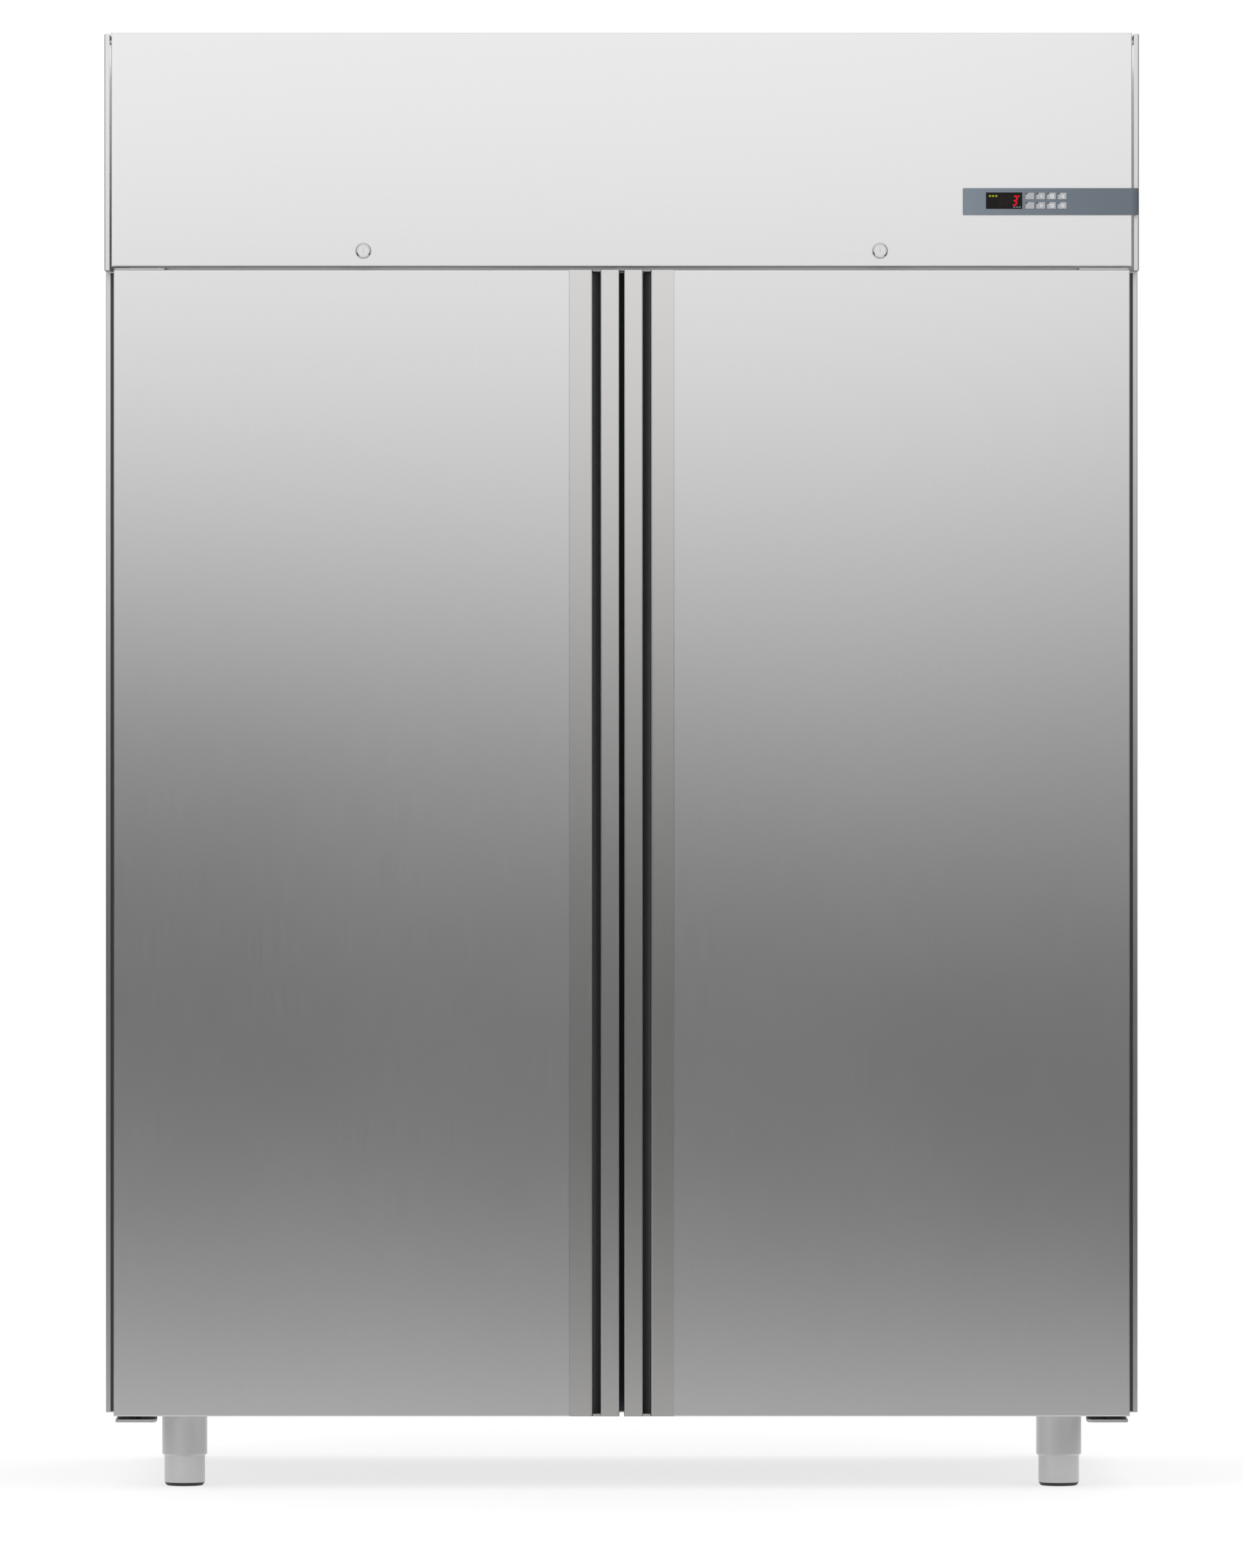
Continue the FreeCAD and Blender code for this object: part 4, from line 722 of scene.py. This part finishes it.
def attach(name, shape, material, body="cabinet", smooth=True):
    """Close the shape and let it move with a body of the frame."""
    bmesh.ops.recalc_face_normals(shape, faces=shape.faces)
    piece = finished_mesh(name, shape, material, smooth)
    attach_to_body(piece, body)
    return piece


X, Y, Z = (1, 0, 0), (0, 1, 0), (0, 0, 1)
print("tube, arc and rounded ready")

# %% [markdown]
# ## Fan guards
# Each fan has a guard of welded wire: rings at an even spacing, held by four spokes that bend over and land on the
# sheet beside the fan mouth. The lower guard sits on the inner side of its cover, clear of the shelf strips below.

# %% Guards over both fans
cover_low, cover_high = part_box("evaporator_cover")
lower_low, lower_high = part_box("evaporator_fan")
shroud_low, shroud_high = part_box("condenser_shroud")
upper_low, upper_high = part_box("condenser_fan")
GUARD_WIRE = 1.4 * MM


def fan_guard(name, hub, outward, across, up, radii, lift):
    """Rings and spokes in front of a fan mouth; the hub is on the sheet, outward points away from it."""
    shape = bmesh.new()
    raised = Vector(hub) + Vector(outward) * lift
    for radius in radii:
        tube(shape, arc(raised, radius, across, up, steps=64)[:-1], GUARD_WIRE, sides=8, closed=True)
    inner, outer = radii[0], radii[-1]
    for quarter in range(4):
        turn = math.tau * (quarter + 0.5) / 4
        ray = Vector(across) * math.cos(turn) + Vector(up) * math.sin(turn)
        wire_top = raised + Vector(outward) * GUARD_WIRE * 1.6
        foot = Vector(hub) + ray * (outer + 8 * MM) + Vector(outward) * GUARD_WIRE
        path = [wire_top + ray * inner, wire_top + ray * (outer + 2 * MM), foot, foot + ray * 7 * MM]
        tube(shape, rounded(path, 3 * MM), GUARD_WIRE, sides=8)
    return attach(name, shape, shelf_coating)


COVER_SHEET = 1.0 * MM
lower_hub = (0.0, (lower_low.y + lower_high.y) / 2, cover_low.z + COVER_SHEET)
fan_guard("evaporator_fan_guard", lower_hub, Z, X, Y, [r * MM for r in (20, 38, 56, 74, 92)], 5 * MM)
upper_hub = (0.0, shroud_high.y, (upper_low.z + upper_high.z) / 2)
fan_guard("condenser_fan_guard", upper_hub, Y, X, Z, [r * MM for r in (46, 60, 74, 88, 101)], 17.5 * MM)
print("guards on hubs at z", round(lower_hub[2] / MM), "and", round(upper_hub[2] / MM), "mm")

# %% [markdown]
# ## Coils
# The condenser's copper tubes run through the fins and return in half-circle bends outside a galvanised end plate.
# On one side the bends join the first tube to the second, on the other the second to the third, and so on.

# %% End plates and return bends
coil_low, coil_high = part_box("condenser")
fin_low = shroud_low.z
TUBE_RADIUS = 4.8 * MM
ROWS = 8
plates = bmesh.new()
bends = bmesh.new()
row_gap = (coil_high.z - fin_low) / ROWS
for hand in (-1, 1):
    wall = coil_high.x * hand
    size = (1.2 * MM, coil_high.y - coil_low.y, coil_high.z - fin_low)
    middle = (wall + hand * 0.6 * MM, (coil_low.y + coil_high.y) / 2, (coil_high.z + fin_low) / 2)
    add_block(plates, middle, size)
    for column in (0.27, 0.73):
        y = coil_low.y + (coil_high.y - coil_low.y) * column
        for row in range(0 if hand > 0 else 1, ROWS - 1, 2):
            z = fin_low + row_gap * (row + 0.5)
            start = wall + hand * 1.2 * MM
            bend = arc((start + hand * 3 * MM, y, z + row_gap / 2), row_gap / 2, Z, (hand, 0, 0), 0, math.pi, 16)
            tube(bends, [(start, y, z + row_gap)] + bend + [(start, y, z)], TUBE_RADIUS, sides=14)
round_edges(plates, plates.edges[:], 0.3 * MM, 1)
attach("coil_end_plates", plates, zinc, smooth=False)
attach("coil_return_bends", bends, copper)
print(ROWS, "tube rows, one every", round(row_gap / MM, 1), "mm")

# %% [markdown]
# ## Compressor and cables
# The hermetic compressor is two pressed shells welded together at a bead. A black cover on its side hides the
# terminals, and cables run from the electrical box to that cover and to the fan motor.

# %% Weld bead, terminal cover and cables
shell_low, shell_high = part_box("compressor")
shell_x = (shell_low.x + shell_high.x) / 2
shell_y = (shell_low.y + shell_high.y) / 2
SHELL_RADIUS = 88 * MM
weld = bmesh.new()
WELD_HEIGHT = 84 * MM
WELD_RADIUS = 2.4 * MM
weld_z = shell_low.z + WELD_HEIGHT
tube(weld, arc((shell_x, shell_y, weld_z), SHELL_RADIUS, X, Y, steps=72)[:-1], WELD_RADIUS, sides=10, closed=True)
attach("compressor_weld", weld, compressor_paint)

cover = bmesh.new()
cover_place = (shell_x, shell_y - SHELL_RADIUS - 9 * MM, weld_z + 4 * MM)
cover_size = (62 * MM, 30 * MM, 58 * MM)
add_block(cover, cover_place, cover_size)
round_edges(cover, cover.edges[:], 5 * MM, 3)
attach("terminal_cover", cover, black_plastic)

box_low, box_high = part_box("electrical_box")
CABLE = 3.2 * MM
CABLE_BEND = 12 * MM
cable = bmesh.new()
floor_z = coil_low.z + 6 * MM
out_x = box_high.x
cable_y = box_low.y + 25 * MM
cover_foot = Vector((cover_place[0] + 12 * MM, cover_place[1], cover_place[2] - 28 * MM))
tube(
    cable,
    rounded(
        [
            (out_x - 2 * MM, cable_y, box_low.z + 60 * MM),
            (out_x + 40 * MM, cable_y, box_low.z + 60 * MM),
            (out_x + 40 * MM, cable_y, floor_z),
            (out_x + 40 * MM, cover_foot.y - 20 * MM, floor_z),
            (cover_foot.x, cover_foot.y - 20 * MM, floor_z),
            (cover_foot.x, cover_foot.y, floor_z + 20 * MM),
            cover_foot,
        ],
        CABLE_BEND,
    ),
    CABLE,
)
tube(
    cable,
    rounded(
        [
            (out_x - 2 * MM, cable_y + 16 * MM, box_low.z + 76 * MM),
            (out_x + 60 * MM, cable_y + 16 * MM, box_low.z + 76 * MM),
            (out_x + 60 * MM, cable_y + 16 * MM, floor_z),
            (-34 * MM, cable_y + 16 * MM, floor_z),
            (-34 * MM, -52 * MM, floor_z),
            (-34 * MM, -52 * MM, upper_hub[2] - 30 * MM),
            (-20 * MM, -69 * MM, upper_hub[2] - 12 * MM),
        ],
        CABLE_BEND,
    ),
    CABLE,
)
attach("unit_cables", cable, black_plastic)
print("compressor centre", round(shell_x / MM), round(shell_y / MM), "mm")

# %% [markdown]
# ## Screws
# Pan-head screws hold the louvred rear panel, the shroud, the lid of the electrical box, the air duct and the
# evaporator cover. A head is one profile spun round its axis, with a round socket in the middle.

# %% Rows of screws
def screws(name, places, axis, radius, material):
    """Pan heads at all the places, standing on a face whose outward direction is the axis."""
    shape = bmesh.new()
    high = radius * 0.6
    profile = [
        (0.0, high * 0.5),
        (radius * 0.34, high * 0.5),
        (radius * 0.38, high),
        (radius * 0.72, high * 0.92),
        (radius * 0.94, high * 0.5),
        (radius, 0.0),
    ]
    for place in places:
        head = turned(profile, place, steps=20, axis=axis)
        copy = bpy.data.meshes.new(name + "_head")
        head.to_mesh(copy)
        head.free()
        shape.from_mesh(copy)
        bpy.data.meshes.remove(copy)
    return attach(name, shape, material)


grille_low, grille_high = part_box("hood_rear_grille")
edge_z = (grille_low.z + 12 * MM, grille_high.z - 12 * MM)
grille_spots = [(x * MM, grille_high.y, z) for x in (-690, -414, -138, 138, 414, 690) for z in edge_z]
screws("rear_panel_screws", grille_spots, Y, 4.5 * MM, hinge_steel)
shroud_spots = [
    (x, shroud_high.y, z)
    for x in (shroud_low.x + 10 * MM, shroud_high.x - 10 * MM)
    for z in (shroud_low.z + 12 * MM, shroud_high.z - 12 * MM)
]
screws("shroud_screws", shroud_spots, Y, 4 * MM, zinc)
box_spots = [
    (x, box_low.y, z)
    for x in (box_low.x + 9 * MM, box_high.x - 9 * MM)
    for z in (box_low.z + 10 * MM, box_high.z - 10 * MM)
]
screws("box_screws", box_spots, (0, -1, 0), 3.5 * MM, zinc)
duct_low, duct_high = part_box("air_duct_panel")
duct_spots = [
    (x, duct_low.y, duct_low.z + (duct_high.z - duct_low.z) * share)
    for x in (duct_low.x + 9 * MM, duct_high.x - 9 * MM)
    for share in (0.015, 0.34, 0.66, 0.985)
]
screws("duct_screws", duct_spots, (0, -1, 0), 4 * MM, shelf_steel)
cover_spots = [(x, cover_low.y, cover_low.z + 9 * MM) for x in (cover_low.x + 12 * MM, 0, cover_high.x - 12 * MM)]
screws("evaporator_cover_screws", cover_spots, (0, -1, 0), 4 * MM, shelf_steel)
print("screws:", len(grille_spots) + len(shroud_spots) + len(box_spots) + len(duct_spots) + len(cover_spots))

# %% [markdown]
# ## Painted shade in the finger groove
# A thin dark sheet on the sloping back wall of each pull is painted shade, which is why the groove looks black from
# the front. It is a narrow strip in plan, drawn once from sizes measured from the door's free edge.

# %% Two dark sheets of painted shade in the grooves
GROOVE_WALL = [(36.7, 13.8), (27.1, 27.5)]
SHADE_SHEET_SHIFT = (-0.66, -0.46)
SHADE_SHEET_END = 4 * MM
for side, hand in (("left", -1), ("right", 1)):
    low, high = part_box(f"door_handle_{side}")
    free_edge = high.x if hand < 0 else low.x
    shape = bmesh.new()
    far = [(w + SHADE_SHEET_SHIFT[0], d + SHADE_SHEET_SHIFT[1]) for w, d in GROOVE_WALL[::-1]]
    corners = [
        shape.verts.new((free_edge + hand * w * MM, low.y + d * MM, low.z + SHADE_SHEET_END)) for w, d in GROOVE_WALL + far
    ]
    plan = shape.faces.new(corners)
    thicken(shape, [plan], (0, 0, high.z - low.z - 2 * SHADE_SHEET_END))
    attach(f"groove_shade_sheet_{side}", shape, groove_shade_paint, f"{side}_door", smooth=False)
print("lining is", round((high.z - low.z - 2 * SHADE_SHEET_END) / MM), "mm long")

# %% [markdown]
# ## The lit display
# Behind the smoked window sit seven-segment digits. The unlit ones still show as a dim brown ghost.
# Each segment is a flat bar with pointed ends: a thin block whose four upright corners are cut by one bevel.

# %% Segments, digits and small indicator dots
window_low, window_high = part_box("display_window")
window_face = window_low.y
window_middle = (window_low + window_high) / 2


def glowing(name, colour, strength):
    """A light-emitting plastic, nearly black when unlit, with a fine diffusing grain."""
    finish, tree, shader = new_finish(name, Roughness=0.5)
    shader.inputs["Base Color"].default_value = linear("120d0c")
    shader.inputs["Specular IOR Level"].default_value = 0.1
    where = add_node(tree, "ShaderNodeTexCoord").outputs["Object"]
    grain = add_node(tree, "ShaderNodeTexNoise", {"Scale": 1 / (0.5 * MM)}, {"Vector": where})
    tint = linear(colour)
    shade = add_node(
        tree,
        "ShaderNodeValToRGB",
        {"stops": [(0.3, scaled_colour(tint, 0.85)), (0.7, tint)]},
        {"Fac": grain.outputs["Fac"]},
    )
    tree.links.new(shade.outputs["Color"], shader.inputs["Emission Color"])
    shader.inputs["Emission Strength"].default_value = strength
    return finish


red_light = glowing("red_led_segment", "e00a1c", 0.95)
green_light = glowing("green_led_dot", "a6ac18", 0.75)
white_light = glowing("white_led_dot", "8e9298", 0.6)
ghost_light = grained("unlit_led_segment", "1f1611", 0.5, 0.5, 0.0, specular=0.1)
BAR = 2.4 * MM
DIGIT_TALL = 14.6 * MM
DIGIT_WIDE = 7.4 * MM
SLANT = 0.12
SEGMENTS = {
    "top": (0, 1, "x"),
    "middle": (0, 0, "x"),
    "bottom": (0, -1, "x"),
    "upper_left": (-1, 0.5, "z"),
    "upper_right": (1, 0.5, "z"),
    "lower_left": (-1, -0.5, "z"),
    "lower_right": (1, -0.5, "z"),
}


def runs_along_y(edge):
    """Whether the edge of a block points into the display."""
    one, two = (v.co for v in edge.verts)
    return abs(one.x - two.x) < 1e-7 and abs(one.z - two.z) < 1e-7


def pointed_bar(shape, middle, length, along):
    """Add one flat bar with pointed ends to a bmesh."""
    size = (length, 0.12 * MM, BAR) if along == "x" else (BAR, 0.12 * MM, length)
    edges = add_block(shape, middle, size)
    round_edges(shape, [e for e in edges if runs_along_y(e)], BAR * 0.46, 1)


def digit(name, centre_x, chosen, material, depth=0.1):
    """One seven-segment digit, leaning a little to the right."""
    shape = bmesh.new()
    middle = Vector((centre_x, window_face - depth * MM, window_middle.z))
    for key in chosen:
        side, rise, along = SEGMENTS[key]
        spot = middle + Vector((side * (DIGIT_WIDE - BAR) / 2, 0, rise * (DIGIT_TALL - BAR) / 2))
        length = DIGIT_WIDE - BAR - 0.3 * MM if along == "x" else (DIGIT_TALL - BAR) / 2 - 0.3 * MM
        pointed_bar(shape, spot, length, along)
    for v in shape.verts:
        v.co.x += SLANT * (v.co.z - middle.z)
    piece = finished_mesh(name, shape, material, smooth=False)
    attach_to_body(piece, "front_panel")
    return piece


left_edge = window_low.x
digit("ghost_digit_1", left_edge + 22.0 * MM, list(SEGMENTS), ghost_light)
digit("ghost_digit_2", left_edge + 31.2 * MM, list(SEGMENTS), ghost_light)
digit("red_digit", left_edge + 40.2 * MM, ["top", "middle", "bottom", "upper_right", "lower_right"], red_light)


def flat_spot(name, x, z, wide, tall, material, depth=0.1, body="front_panel"):
    """A flat rounded spot: a bevelled block standing a tenth of a millimetre proud."""
    shape = bmesh.new()
    edges = add_block(shape, (x, window_face - depth * MM, z), (wide, 0.12 * MM, tall))
    round_edges(shape, [e for e in edges if runs_along_y(e)], min(wide, tall) * 0.3, 3)
    piece = finished_mesh(name, shape, material, smooth=False)
    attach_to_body(piece, body)
    return piece


dot_x, dot_z, dot_size = left_edge + 45.6 * MM, window_high.z - 5.2 * MM, 2.4 * MM
flat_spot("degree_dot", dot_x, dot_z, dot_size, dot_size, red_light)
for count in range(3):
    flat_spot(
        f"indicator_{count + 1}",
        left_edge + (5.6 + 4.4 * count) * MM,
        window_high.z - 5.0 * MM,
        3.2 * MM,
        2.8 * MM,
        green_light,
    )
for count in range(3):
    flat_spot(
        f"unit_mark_{count + 1}",
        left_edge + (39.4 + 3.9 * count) * MM,
        window_low.z + 2.6 * MM,
        3.0 * MM,
        1.7 * MM,
        white_light,
    )
print("display face at y =", round(window_face / MM, 2), "mm")

# %% [markdown]
# ## Marks on the keys
# Each key has a black triangle in its top left corner, and most have a plain pale sign: a shape with three, four,
# six or more sides, drawn as a ring between two circles of few segments.

# %% Corner triangles and signs
dark_ink = grained("black_key_ink", "0e0e10", 0.5, 0.3, 0.0, specular=0.2)
pale_ink = grained("white_key_ink", "dddfe0", 0.5, 0.3, 0.0, specular=0.3)
INK = 0.08 * MM
SIGNS = {2: (3, 90), 3: (24, 0), 4: (4, 45), 6: (3, -90), 7: (6, 0), 8: (4, 0)}
for number in range(1, 9):
    low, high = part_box(f"button_{number}")
    face = low.y - 0.02 * MM
    middle = (low + high) / 2
    shape = bmesh.new()
    left, top = low.x + 1.2 * MM, high.z - 1.2 * MM
    corners = ((left, face, top), (left + 3.4 * MM, face, top), (left, face, top - 3 * MM))
    shape.faces.new([shape.verts.new(corner) for corner in corners])
    thicken(shape, shape.faces[:], (0, -INK, 0))
    attach(f"corner_{number}", shape, dark_ink, f"key_{number}", smooth=False)
    if number in SIGNS:
        sides, turn = SIGNS[number]
        shape = bmesh.new()
        turned_up = Matrix.Translation((middle.x + 1 * MM, face, middle.z - 0.4 * MM)) @ Matrix.Rotation(
            math.radians(90), 4, "X"
        ) @ Matrix.Rotation(math.radians(turn), 4, "Z")
        bmesh.ops.create_circle(shape, segments=sides, radius=2.5 * MM, matrix=turned_up)
        bmesh.ops.create_circle(shape, segments=sides, radius=1.6 * MM, matrix=turned_up)
        bmesh.ops.bridge_loops(shape, edges=shape.edges[:])
        thicken(shape, shape.faces[:], (0, -INK, 0))
        attach(f"sign_{number}", shape, pale_ink, f"key_{number}", smooth=False)
print("signs on", len(SIGNS), "keys")
